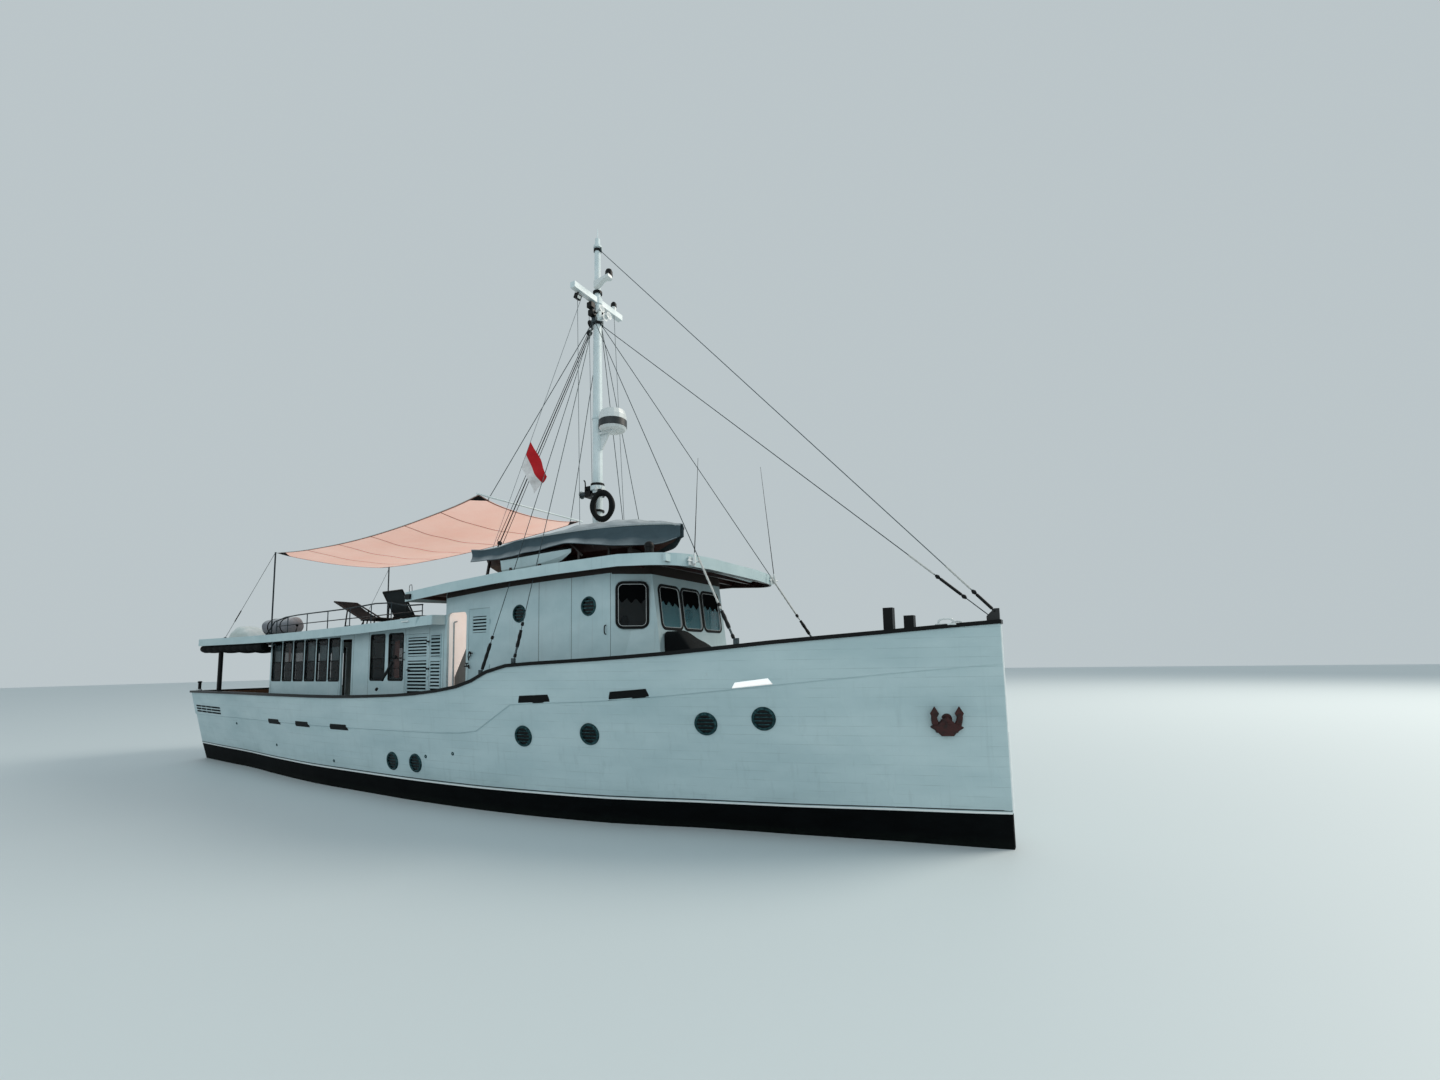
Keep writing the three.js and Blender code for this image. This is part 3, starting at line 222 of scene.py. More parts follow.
# Oiled timber: grain runs along the piece, darker at the pores
def oiledTimber(name, light, dark, along, across):
    m = Finish(name)
    grain = m.patches((along, across, across), 2.4, 0.3, 0.72, 6.0)
    pores = m.patches((4 * along, 4 * across, 4 * across), 3.0, 0.55, 0.7)
    colour = m.blend(m.times(pores, 0.4), m.blend(grain, light, dark), "#1f140c")
    return m.done(colour, 0.5, (grain, 0.3, 0.002))


# Bare metals: galvanised wire is dull and spangled, stainless tube brighter, bronze brown-gold
def bareMetal(name, light, dark, roughness, grainScale):
    m = Finish(name)
    spangle = m.patches(1, grainScale, 0.35, 0.65)
    rough = m.ramp(spangle, 0.0, 1.0, roughness, roughness + 0.15)
    return m.done(m.blend(spangle, light, dark), rough, metal=1.0)


# The forestay with its stem fitting: galvanised wire above, black enamel on the iron at its foot
def stayFinish():
    m = Finish("galvanised_stay_black_foot")
    foot = m.times(m.math("GREATER_THAN", m.axes[0], 10.62), m.math("LESS_THAN", m.axes[2], 3.47))
    return m.done(m.blend(foot, "#596468", "#090c0d"), 0.45, metal=m.math("SUBTRACT", 1.0, foot))


# Red lead primer over iron: matt dark red, rust bleeding through
def redPrimer():
    m = Finish("red_primer")
    pits = m.patches(1, 60.0, 0.55, 0.7)
    colour = m.blend(m.patches(1, 14.0, 0.45, 0.65), "#3a100d", "#1f0b08")
    return m.done(m.blend(m.times(pits, 0.5), colour, "#0f0605"), 0.72, (pits, 0.5, 0.003))


# Coated canvas: plain weave, drawn coarse so that it shows, soft creases darkened as painted shade;
# lighter on the upward faces, partly from sun-bleaching and partly as painted light
def canvas(name, cloth, bleachedAndLit, creaseShade, low=0.2, high=0.95):
    m = Finish(name)
    weave = m.math("ADD", m.weave("X", 26.0, 0.3), m.weave("Y", 26.0, 0.3))
    creases = m.patches((1.2, 2.6, 2.6), 2.2, 0.3, 0.7, 5.0)
    colour = m.blend(m.times(creases, 0.45), m.blend(m.upward(low, high), cloth, bleachedAndLit), creaseShade)
    return m.done(colour, 0.88, (m.math("ADD", m.times(weave, 0.12), creases), 0.45, 0.012), shine=0.15)


# Awning: close-woven acrylic canvas in pale salmon, with a painted glow for the daylight coming through
def awningCloth():
    m = Finish("awning_acrylic_canvas")
    colour = m.blend(m.patches((0.6, 0.9, 1), 1.0, 0.3, 0.75), "#f7cfc1", "#f2c0af")
    colour = m.blend(m.times(m.weave("DIAGONAL", 30.0), 0.06), colour, "#d9a08c")
    ripple = m.patches((1.0, 0.6, 1), 2.2, 0.2, 0.8, 3.0)
    return m.done(colour, 0.85, (ripple, 0.3, 0.02), glow=0.50, sheen=0.2)


# Bunting: loosely woven flag wool, red above white, from the piece's own attribute
def bunting():
    m = Finish("bunting_red_white")
    drop = m.node("Attribute", {}, attribute_name="drop").outputs["Fac"]
    colour = m.blend(m.ramp(drop, 0.49, 0.51), "#e9e7e6", "#c4141f")
    shade = m.times(m.patches(1, 9.0, 0.3, 0.7), 0.22)
    return m.done(m.blend(shade, colour, "#5b1226", "MULTIPLY"), 0.9)


# Window glass: tinted toughened glass that lets a little of the cabin show, in a polarised, shaded look
def tintedGlass(name, tint, clearness):
    m = Finish(name)
    colour = m.blend(m.times(m.patches(1, 3.0, 0.4, 0.8), 0.12), tint, "#26353a")
    return m.done(colour, 0.06, alpha=1 - clearness, shine=0.22)


# Plain fittings: moulded or painted, with a fine even texture
def moulded(name, light, dark, roughness, scale=40.0, shine=0.5):
    m = Finish(name)
    mottle = m.patches(1, scale, 0.35, 0.7)
    return m.done(m.blend(mottle, light, dark), roughness, (mottle, 0.15, 0.001), shine=shine)


# Laid rope: diagonal strands
def laidRope(name, light, dark):
    m = Finish(name)
    strands = m.weave("DIAGONAL", 60.0, 1.0)
    return m.done(m.blend(strands, light, dark), 0.85, (strands, 0.5, 0.003))


finishes = {
    "enamel": plankEnamel(),
    "antifouling": antifouling(),
    # The white house, door and spar paints are greyed and tinted blue-grey as painted shade
    "house": housePaint("plywood_white_paint", "#bdd2d6", "#aac3c8"),
    "door": housePaint("door_white_paint", "#b3cacf", "#a1bbc0", 0.35),
    "innerWhite": innerWhite(),
    "sunlitWhite": sunlitWhite(),
    "stairGrey": housePaint("lobby_shade_grey_brown_paint", "#6b6560", "#57524e"),
    "darkRed": housePaint("oxblood_paint", "#3b1714", "#260d0b"),
    "spar": housePaint("spar_gloss_white", "#dce7e9", "#c6d5d8", 0.35),
    "wheelRoof": roofFinish("wheelhouse_roof_paint", -0.58, 6.59, "#3a1512", "#1d0a08"),
    "deckRoof": roofFinish("deckhouse_roof_paint", -11.3, 0.42, "#171211", "#0b0807"),
    "rail": railPaint(),
    "teak": oiledTimber("oiled_teak", "#7a4f2c", "#4a2d18", 2.0, 14.0),
    "darkTimber": oiledTimber("dark_stained_timber", "#2a201b", "#15100d", 2.0, 12.0),
    "galvanised": bareMetal("galvanised_wire", "#596468", "#3d4649", 0.45, 30.0),
    "stainless": bareMetal("stainless_tube", "#353e43", "#272e31", 0.36, 18.0),
    "verdigris": bareMetal("verdigris_bronze_ring", "#3f5f62", "#1f3538", 0.48, 22.0),
    "bronze": bareMetal("cast_bronze", "#a07a42", "#7d5a2c", 0.36, 20.0),
    "stemFitting": stayFinish(),
    "primer": redPrimer(),
    "coverCanvas": canvas("cover_canvas_grey", "#4f6068", "#b9c0c3", "#36434a", 0.08, 0.62),
    "darkCanvas": canvas("cover_canvas_dark", "#0b0e10", "#1a1f21", "#060809"),
    "slingCanvas": canvas("sling_canvas_grey", "#2a2f31", "#464b4d", "#191c1e"),
    "canisterCanvas": canvas("canister_canvas_grey", "#85888e", "#d3d6d8", "#5c5f66"),
    "whiteCanvas": canvas("hood_canvas_white", "#dfe6e5", "#f2f5f4", "#9fb3ae"),
    "awning": awningCloth(),
    "awningSeam": canvas("awning_seam_salmon", "#c9978a", "#cf9f90", "#a87a6c"),
    "curtain": canvas("saloon_curtain_cloth", "#7f8d90", "#9aa5a6", "#5d6a6d"),
    "pinkCurtain": canvas("saloon_curtain_pink", "#c9948a", "#d8aaa0", "#9c6a62"),
    "bunting": bunting(),
    "glass": tintedGlass("tinted_window_glass", "#0a1518", 0.60),
    "wheelGlass": tintedGlass("wheelhouse_glass_teal", "#5d9fac", 0.74),
    "darkGlass": tintedGlass("wheelhouse_glass_dark", "#0a1114", 0.35),
    "portGlass": tintedGlass("port_glass_dark", "#070c0e", 0.05),
    "leadLine": moulded("gunwale_line_grey", "#aab5b8", "#8f9a9d", 0.7),
    "blindGrey": moulded("grey_window_blind", "#b4cdd2", "#9dbac0", 0.8, 12.0),
    "blind": moulded("dark_window_blind", "#040506", "#07090a", 0.9, 12.0, 0.05),
    "rubber": moulded("black_rubber_gasket", "#07090a", "#0d1011", 0.6, 40.0, 0.15),
    "black": moulded("black_fitting_enamel", "#060809", "#0c0f10", 0.45, 40.0, 0.2),
    "whiteFitting": moulded("white_fitting_enamel", "#dfe4e4", "#cdd3d3", 0.35),
    "radome": moulded("radome_gelcoat", "#dfe3e3", "#d2d8d8", 0.3, 6.0),
    "lampGlass": moulded("lamp_prismatic_lens", "#cfd6d4", "#a9b2b0", 0.12, 80.0),
    "wireSleeve": moulded("black_wire_sleeve", "#0d1011", "#161a1b", 0.55, 30.0, 0.2),
    "slatShadow": moulded("louvre_shadow", "#081012", "#0c1618", 0.8, 40.0, 0.1),
    "stemWhite": moulded("stem_band_white", "#f1f5f5", "#e2e9e9", 0.3, 12.0),
    "bootWhite": moulded("boot_line_white", "#e9eceb", "#dde1e0", 0.35, 12.0),
    "bootDark": moulded("boot_line_dark", "#1a2022", "#262d2f", 0.45, 12.0),
    "rope": laidRope("laid_grey_rope", "#8b9295", "#5a6265"),
    "whiteRope": laidRope("laid_white_rope", "#dcdedb", "#a9aba8"),
}
print("yacht: materials made,", len(finishes))


# Mesh helpers: a part is (points, faces); parts are joined into one piece
def steps(low, high, count):
    return np.linspace(low, high, count)


def vec(*values):
    return np.array(values, float)


def unit(v):
    v = np.asarray(v, float)
    return v / np.maximum(np.linalg.norm(v, axis=-1, keepdims=True), 1e-12)


def gridFaces(rows, columns, wrapRows=False):
    r = np.arange(rows if wrapRows else rows - 1)[:, None]
    c = np.arange(columns)[None]
    nextRow, nextColumn = (r + 1) % rows, (c + 1) % columns
    quad = [r * columns + c, r * columns + nextColumn, nextRow * columns + nextColumn, nextRow * columns + c]
    return np.stack(quad, -1).reshape(-1, 4)


# Rings of points joined to a tube, wrapped to a torus, or closed by end rings drawn to their middle
def tube(rings, wrapped=False, capped=False):
    if capped:
        ends = [np.broadcast_to(rings[k].mean(0), rings[k].shape)[None] for k in (0, -1)]
        rings = np.concatenate([ends[0], rings, ends[1]])
    return rings.reshape(-1, 3), gridFaces(len(rings), rings.shape[1], wrapped)


# A closed profile of (side, up) pairs carried square to a path: point = path + side * s + lift * t
def carry(profile, path, up=(0, 0, 1), closed=False, scale=1.0):
    path, profile = np.asarray(path, float), np.asarray(profile, float)
    ahead = unit(np.roll(path, -1, 0) - np.roll(path, 1, 0) if closed else np.gradient(path, axis=0))
    side = unit(np.cross(ahead, np.asarray(up, float)))
    lift = np.cross(side, ahead)
    square = profile[None, :, :1] * side[:, None] + profile[None, :, 1:] * lift[:, None]
    size = np.broadcast_to(scale, len(path))[:, None, None]
    return tube(path[:, None] + size * square, wrapped=closed, capped=not closed)


# A thin closed sheet from its front and back grids: each row runs out on the front and home on the back
def thinSheet(front, back):
    loop = np.concatenate([front, back[:, ::-1]], 1)
    ends = [(front[k] + back[k]) / 2 for k in (0, -1)]
    ends = [np.concatenate([row, row[::-1]])[None] for row in ends]
    return tube(np.concatenate([ends[0], loop, ends[1]]))


def circle(radius, sides=10):
    a = np.arange(sides) / sides * tau
    return np.stack([radius * np.cos(a), radius * np.sin(a)], 1)


def band(width, height, lift=0.0):
    w, top = width / 2, lift + height
    return vec([-w, lift], [w, lift], [w, top], [-w, top])


def upFor(a, b):
    return (1, 0, 0) if abs(unit(np.subtract(b, a))[2]) > 0.9 else (0, 0, 1)


def rod(a, b, radius, sides=8):
    return carry(circle(radius, sides), vec(a, b), upFor(a, b))


# A round bar along a smooth curve: Catmull-Rom through the points, evenly in parameter
def bentRod(points, radius, sides=8, count=24):
    p = np.asarray(points, float)
    padded = np.concatenate([2 * p[:1] - p[1:2], p, 2 * p[-1:] - p[-2:-1]])
    t = steps(0, len(p) - 1 - 1e-9, count)
    i = t.astype(int)
    u = (t - i)[:, None]
    a, b, c, d = padded[i], padded[i + 1], padded[i + 2], padded[i + 3]
    square, cube = 2 * a - 5 * b + 4 * c - d, 3 * b - a - 3 * c + d
    path = 0.5 * (2 * b + (c - a) * u + square * u ** 2 + cube * u ** 3)
    return carry(circle(radius, sides), path, upFor(p[0], p[-1]))


# A profile of (radius, height) pairs turned about an axis: base + axis * h + r * (cos, sin)
def lathe(profile, base, axis=(0, 0, 1), sides=24):
    axis = unit(axis)
    u = unit(np.cross(axis, (0, 0, 1) if abs(axis[2]) < 0.9 else (1, 0, 0)))
    r, h = np.asarray(profile, float).T[:, :, None, None]
    a = np.arange(sides) / sides * tau
    return tube(np.asarray(base, float) + h * axis
                + r * (np.cos(a)[:, None] * u + np.sin(a)[:, None] * np.cross(axis, u)))


def disc(radius, low, high):  # profile of a plain disc, for lathe
    return [(0, low), (radius, low), (radius, high), (0, high)]


def block(low, high):
    low, high = np.asarray(low, float), np.asarray(high, float)
    pick = vec([0, 0, 0], [1, 0, 0], [1, 1, 0], [0, 1, 0], [0, 0, 1], [1, 0, 1], [1, 1, 1], [0, 1, 1])
    faces = [[0, 3, 2, 1], [4, 5, 6, 7], [0, 1, 5, 4], [1, 2, 6, 5], [2, 3, 7, 6], [3, 0, 4, 7]]
    return low + pick * (high - low), np.array(faces)


def slab(x, y, z):  # the same from its span along each axis
    return block(*zip(x, y, z))


# A block about its own middle, turned by a rotation matrix and moved to its centre
def turnedBlock(size, centre, turn=np.eye(3)):
    half = np.asarray(size, float) / 2
    points, faces = block(-half, half)
    return points @ turn.T + np.asarray(centre, float), faces


def aroundAxis(axis, degrees):
    return np.array(Matrix.Rotation(np.radians(degrees), 3, Vector(axis)))


# Closed outline of a rectangle with round corners, about its middle
def roundBox(width, height, radius):
    a = steps(0, np.pi / 2, 6)
    corners = []
    for k, (sx, sy) in enumerate([(1, 1), (-1, 1), (-1, -1), (1, -1)]):
        centre = vec(sx * (width / 2 - radius), sy * (height / 2 - radius))
        turn = a + k * np.pi / 2
        corners.append(centre + radius * np.stack([np.cos(turn), np.sin(turn)], 1))
    return np.concatenate(corners)


def onPlane(outline, origin, u, v):
    outline = np.asarray(outline, float)
    return np.asarray(origin, float) + outline[:, :1] * unit(u) + outline[:, 1:] * unit(v)


# A flat sheet of any star-shaped outline: middle, front edge, back edge and middle as four rings
def plate(outline, origin, u, v, thickness):
    front = onPlane(outline, origin, u, v)
    back = front - unit(np.cross(unit(u), unit(v))) * thickness
    return tube(np.stack([front, back]), capped=True)


# A rectangular bead of the given width carried round an outline, standing off the plane by its height
def frameRing(outline, origin, u, v, width, height):
    normal = np.cross(unit(u), unit(v))
    return carry(band(width, height), onPlane(outline, origin, u, v), up=normal, closed=True)


def mirrored(parts):
    return [(points * vec(1, -1, 1), faces[:, ::-1]) for points, faces in parts]


def bothSides(parts):
    return list(parts) + mirrored(parts)


# The library slots, each with the finishes that go with it where a piece names no slot itself
librarySlots = {
    "dark_trim": "rubber black bootDark wireSleeve darkTimber darkRed",
    "moulded_white": "whiteFitting lampGlass", "bronze": "verdigris", "galvanised": "galvanised",
    "rope": "rope whiteRope", "spar_white": "spar",
    "canvas_dark": "darkCanvas", "canvas_grey": "coverCanvas canisterCanvas whiteCanvas blindGrey",
    "awning_cloth": "awning awningSeam", "flag_cloth": "bunting", "house_white": "house door stairGrey",
    "hull_white": "stemWhite bootWhite sunlitWhite", "red_primer": "primer",
}
finishSlots = {finish: slot for slot, names in librarySlots.items() for finish in names.split()}


# Joined parts as one mesh: doubles merged, faces turned outwards, edges sharper than the angle kept sharp
def makePiece(name, parts, finish, slot=None, body="yacht", smooth=40.0, bevel=0.0, replaces=(), drop=None):
    starts = np.cumsum([0] + [len(points) for points, faces in parts])
    points = np.concatenate([part[0] for part in parts])
    faces = np.concatenate([part[1] + start for part, start in zip(parts, starts)])
    mesh = bpy.data.meshes.new(name)
    mesh.from_pydata(points.tolist(), [], faces.tolist())
    if drop is not None:
        mesh.attributes.new("drop", "FLOAT", "POINT").data.foreach_set("value", drop.astype(np.float32))
    tidy = bmesh.new()
    tidy.from_mesh(mesh)
    bmesh.ops.remove_doubles(tidy, verts=tidy.verts, dist=1e-5)
    bmesh.ops.dissolve_degenerate(tidy, dist=1e-6, edges=tidy.edges)
    bmesh.ops.recalc_face_normals(tidy, faces=tidy.faces)
    tidy.to_mesh(mesh)
    tidy.free()
    mesh.materials.append(finishes[finish])
    piece = bpy.data.objects.new(name, mesh)
    collection.objects.link(piece)
    mesh.polygons.foreach_set("use_smooth", np.ones(len(mesh.polygons), bool))
    mesh.set_sharp_from_angle(angle=np.radians(smooth))
    if bevel:
        edge = piece.modifiers.new("eased_edges", "BEVEL")
        edge.width, edge.segments, edge.limit_method, edge.angle_limit = bevel, 2, "ANGLE", np.radians(50)
    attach(piece, body)
    if replaces:
        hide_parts(*replaces)
    slot = slot or finishSlots.get(finish)
    return piece


# The same parts on the starboard and the port leaf of a door, each riding on its own leaf
def onDoors(door, what, parts, finish):
    makePiece(door + what + "_starboard", parts, finish, body=door + "_starboard")
    makePiece(door + what + "_port", mirrored(parts), finish, body=door + "_port")


def pair(name, parts, finish, slot=None, **extra):  # one piece of the starboard parts and their mirror images
    return makePiece(name, bothSides(parts), finish, slot, **extra)


sides = (("starboard", list), ("port", mirrored))
boltHead = [(0, -0.002), (0.008, -0.002), (0.008, 0.004), (0.004, 0.007), (0, 0.007)]

# The hull's lines, as in the solids: columns by station, in metres
hullTable = {
    "x": [-11.2, -9, -8, -5.5, -3, 0, 1.3, 1.9, 2.31, 2.7, 3.2, 5, 6.5, 8, 9.5, 10.5, 10.97],
    "railZ": [2.08, 2.085, 2.085, 2.08, 2.075, 2.145, 2.245, 2.33, 2.44, 2.6, 2.71, 2.785, 2.865, 2.99, 3.105,
              3.19, 3.23],
    "railY": [2.11, 2.25, 2.29, 2.44, 2.5, 2.5, 2.48, 2.465, 2.45, 2.435, 2.41, 2.24, 1.99, 1.6, 0.95,
              0.42, 0.09],
    "stepZ": [1.36, 1.36, 1.36, 1.36, 1.36, 1.38, 1.395, 1.42, 1.47, 1.69, 1.97, 2.05, 2.165, 2.31, 2.455,
              2.54, 2.575],
    "waterY": [1.61, 1.74, 1.78, 2.03, 2.19, 2.2, 2.15, 2.11, 2.08, 2.04, 1.98, 1.65, 1.18, 0.81, 0.42, 0.19,
               0.075],
    "bootZ": [0.47, 0.45, 0.44, 0.425, 0.415, 0.41, 0.41, 0.41, 0.41, 0.412, 0.415, 0.42, 0.43, 0.445, 0.465,
              0.475, 0.48],
}
strakeProud = 0.025


# Cubic through the rows whose slopes are harmonic means, so that it never overshoots them
def fairLine(column, at):
    x, y = np.array(hullTable["x"], float), np.array(hullTable[column], float)
    slope = np.diff(y) / np.diff(x)
    inner = 2 * slope[:-1] * slope[1:] / (slope[:-1] + slope[1:] + 1e-12)
    inner = np.where(slope[:-1] * slope[1:] <= 0, 0, inner)
    tangent = np.concatenate([slope[:1], inner, slope[-1:]])
    at = np.asarray(at, float)
    i = np.clip(np.searchsorted(x, at, side="left") - 1, 0, len(x) - 2)
    span = x[i + 1] - x[i]
    t = np.clip((at - x[i]) / span, 0, 1)
    s = 1 - t
    return (y[i] * (1 + 2 * t) * s * s + tangent[i] * span * t * s * s
            + y[i + 1] * t * t * (3 - 2 * t) - tangent[i + 1] * span * t * t * s)


def hullStations(spacing=0.76):
    marks = hullTable["x"]
    counts = [int(np.ceil((b - a) / spacing - 1e-9)) + 1 for a, b in zip(marks, marks[1:])]
    return np.concatenate([[marks[0]], *[steps(a, b, n)[1:] for a, b, n in zip(marks, marks[1:], counts)]])


def skinAt(x, z):  # half-breadth on the fair surface above the water
    water = fairLine("waterY", x)
    rise = (z / fairLine("railZ", x)) ** 0.9
    proud = np.where(z > fairLine("stepZ", x), strakeProud, 0.0)
    return water + (fairLine("railY", x) - strakeProud - water) * rise + proud


# Half-breadth on the planking: straight between its lines at each station, straight between stations
def plankingY(x, z):
    marks = hullStations()
    boot, step, top = fairLine("bootZ", marks), fairLine("stepZ", marks), fairLine("railZ", marks) - 0.0603
    yBoot, yStep = skinAt(marks, boot), skinAt(marks, step)
    yOver, yTop = skinAt(marks, step + 0.02), skinAt(marks, top)
    x, z = np.broadcast_arrays(np.asarray(x, float), np.asarray(z, float))
    i = np.clip(np.searchsorted(marks, x) - 1, 0, len(marks) - 2)
    t = (x - marks[i]) / (marks[i + 1] - marks[i])

    def at(k):
        lower = yBoot[k] + (yStep[k] - yBoot[k]) * (z - boot[k]) / (step[k] - boot[k])
        upper = yOver[k] + (yTop[k] - yOver[k]) * (z - step[k] - 0.02) / (top[k] - step[k] - 0.02)
        return np.where(z > step[k] + 0.01, upper, lower)

    return at(i) * (1 - t) + at(i + 1) * t


# A point on the starboard planking with its outward normal, fore-and-aft and upward directions
def hullSpot(x, z):
    e = 0.03
    point = vec(x, -float(plankingY(x, z)), z)
    along = unit(vec(2 * e, -float(plankingY(x + e, z) - plankingY(x - e, z)), 0))
    upward = unit(vec(0, -float(plankingY(x, z + e) - plankingY(x, z - e)), 2 * e))
    normal = unit(np.cross(along, upward))
    return point, normal, along, np.cross(normal, along)


# Boot lines: how far above the paint's edge they start, and their height
bootLines = {"white": (0.002, 0.026), "dark": (0.040, 0.018), "proud": 0.003}


def bootLine(low, height):
    x = hullStations()
    z = fairLine("bootZ", x) + low
    foot, head, proud = -plankingY(x, z), -plankingY(x, z + height), bootLines["proud"]
    edges = [(foot + 0.004, z), (foot - proud, z), (head - proud, z + height), (head + 0.004, z + height)]
    return [tube(np.stack([np.stack([x, y, level], 1) for y, level in edges], 1), capped=True)]


pair("boot_line_white", bootLine(*bootLines["white"]), "bootWhite")
pair("boot_line_dark", bootLine(*bootLines["dark"]), "bootDark", "bottom_black")

hullPorts = {
    "places": [(3.42, 1.43), (4.82, 1.51), (6.86, 1.72), (7.76, 1.81), (-0.30, 0.76), (0.47, 0.77)],
    "outer": 0.19, "inner": 0.142, "proud": 0.030, "bars": (-0.09, -0.03, 0.03, 0.09), "barRadius": 0.010,
    "bolts": 8,
}


def hullPortParts():
    h = hullPorts
    o, i, d = h["outer"], h["inner"], h["proud"]
    rim = [(i, -0.004), (i, d * 0.7), (i + 0.008, d), (o - 0.016, d), (o - 0.004, d * 0.55), (o, -0.004)]
    rings, panes, bars, bolts = [], [], [], []
    for x, z in h["places"]:
        p, normal, along, up = hullSpot(x, z)
        rings.append(lathe(rim + rim[:1], p, normal, 40))
        panes.append(lathe(disc(i + 0.002, -0.003, 0.005), p, normal, 32))
        for offset in h["bars"]:
            half = np.sqrt(i ** 2 - offset ** 2)
            middle = p + up * offset + normal * 0.014
            bars.append(rod(middle - along * half, middle + along * half, h["barRadius"]))
        for a in (np.arange(h["bolts"]) + 0.5) / h["bolts"] * tau:
            spot = p + (np.cos(a) * along + np.sin(a) * up) * (o + i) / 2 + normal * (d - 0.003)
            bolts.append(lathe(boltHead, spot, normal, 6))
    return rings + bolts, panes, bars


portRings, portPanes, portBars = hullPortParts()
pair("hull_port_rings", portRings, "verdigris")
pair("hull_port_glass", portPanes, "portGlass")
pair("hull_port_bars", portBars, "verdigris")

# Two lengths of half-round band up the stem, the lower one wider: low, high, width and thickness
stemBand = {"x": 10.968, "lengths": [(0.49, 1.62, 0.090, 0.024), (1.60, 3.15, 0.062, 0.016)]}


def stemParts():
    a = steps(0, np.pi, 9)[::-1]
    parts = []
    for low, high, width, thick in stemBand["lengths"]:
        path = [(stemBand["x"], 0, z) for z in steps(low, high, 8)]
        parts.append(carry(np.stack([width / 2 * np.cos(a), thick * np.sin(a)], 1), path, up=(1, 0, 0)))
    return parts


makePiece("stem_band", stemParts(), "stemWhite")

anchor = {
    "x": 10.21, "z": 1.67, "stand": 0.115,
    "crown": [(-0.225, 0.035), (-0.20, 0.055), (-0.13, 0.075), (-0.05, 0.15), (0, 0.185), (0.05, 0.15),
              (0.13, 0.075), (0.20, 0.055), (0.225, 0.035), (0.13, -0.03), (0.085, -0.085), (-0.085, -0.085),
              (-0.13, -0.03)],
    "tip": [(0.0, 0.105), (0.062, 0.0), (0.036, -0.05), (-0.036, -0.05), (-0.062, 0.0)],
    "arm": [(-0.048, -0.026), (0.048, -0.026), (0.054, 0), (0.040, 0.030), (-0.040, 0.030), (-0.054, 0)],
    "hawseShade": [(0, -0.003), (0.095, -0.003), (0.095, 0.010), (0.07, 0.022), (0, 0.022)],
}


# Stockless anchor housed against the planking: crown, shank head, and two arms that rise to arrow tips;
# at the shank's root a dark disc, partly the hawse's mouth and partly painted shadow of the anchor
def anchorParts():
    p, normal, along, up = hullSpot(anchor["x"], anchor["z"])
    origin = p + normal * anchor["stand"]
    parts = [plate(anchor["crown"], origin, along, up, 0.095),
             rod(p - normal * 0.02 + up * 0.13, origin + up * 0.07, 0.042, 12),
             lathe(anchor["hawseShade"], p + up * 0.14, normal)]
    s = steps(0, 1, 12)[:, None]
    for side in (-1, 1):
        across = side * (0.10 + 0.075 * np.sin(s * np.pi * 0.62))
        arm = origin + across * along + (-0.02 + 0.25 * s) * up - normal * (0.045 - 0.02 * s)
        parts.append(carry(anchor["arm"], arm, up=normal, scale=1.0 - 0.25 * s[:, 0]))
        tip = origin + side * 0.168 * along + 0.235 * up - normal * 0.008
        parts.append(plate(anchor["tip"], tip, along, up, 0.030))
    return parts


for side, turned in sides:
    makePiece("stockless_anchor_" + side, turned(anchorParts()), "primer", bevel=0.006,
              replaces=["anchor_" + side])

# Hinged flaps over the freeing ports as x, length and height, sunk into or standing off the planking;
# the dark flaps are painted shade for the dark ports, the white one glows as painted light shining through
freeingFlaps = {
    "dark": [(3.76, 0.70, 0.095), (5.65, 0.72, 0.095), (-5.435, 0.64, 0.08), (-3.895, 0.66, 0.08),
             (-2.25, 0.71, 0.08)],
    "white": [(7.665, 0.62, 0.09)],
    "inset": {"dark": -0.006, "white": 0.010}, "aftFoot": 1.33, "narrowed": 0.86,
}


def flapParts(kind):  # each a strip that follows the planking, narrower at its head
    f, parts = freeingFlaps, []
    for x, length, height in f[kind]:
        t = steps(-0.5, 0.5, 9)[:, None] * (length + 0.03) * steps(1, f["narrowed"], 3)[None]
        foot, slope = f["aftFoot"], 0.0
        if x > 0:
            foot = float(fairLine("stepZ", x)) + 0.03
            slope = (fairLine("stepZ", x + 0.3) - fairLine("stepZ", x - 0.3)) / 0.6
        z = foot + slope * t + steps(-0.015, height + 0.030, 3)[None]
        front = np.stack([x + t, -(plankingY(x + t, z) - f["inset"][kind]), z], -1)
        parts.append(thinSheet(front, front + vec(0, 0.010, 0)))
    return parts


pair("freeing_port_shade_flaps", flapParts("dark"), "rubber")
pair("freeing_port_lit_flaps", flapParts("white"), "sunlitWhite")

# Four short ladders of vent slots on the quarter, each slot a thin dark strip laid on the planking,
# painted shade standing for the slot's opening
ventSlots = {"columns": (-10.76, -10.34, -9.92, -9.36), "lengths": (0.35, 0.34, 0.35, 0.64),
             "rows": (1.62, 1.54, 1.46), "height": 0.042, "proud": 0.012}


def ventSlotParts():
    v, parts = ventSlots, []
    for x, length in zip(v["columns"], v["lengths"]):
        for z in v["rows"]:
            along = steps(x - length / 2, x + length / 2, 8)[:, None] + np.zeros((1, 2))
            level = z - 0.012 * (along - v["columns"][2]) + vec([-0.5, 0.5]) * v["height"]
            skin = np.stack([along, -plankingY(along, level), level], -1)
            parts.append(thinSheet(skin - vec(0, v["proud"], 0), skin + vec(0, 0.004, 0)))
    return parts


pair("quarter_vent_slots", ventSlotParts(), "slatShadow", "dark_trim")

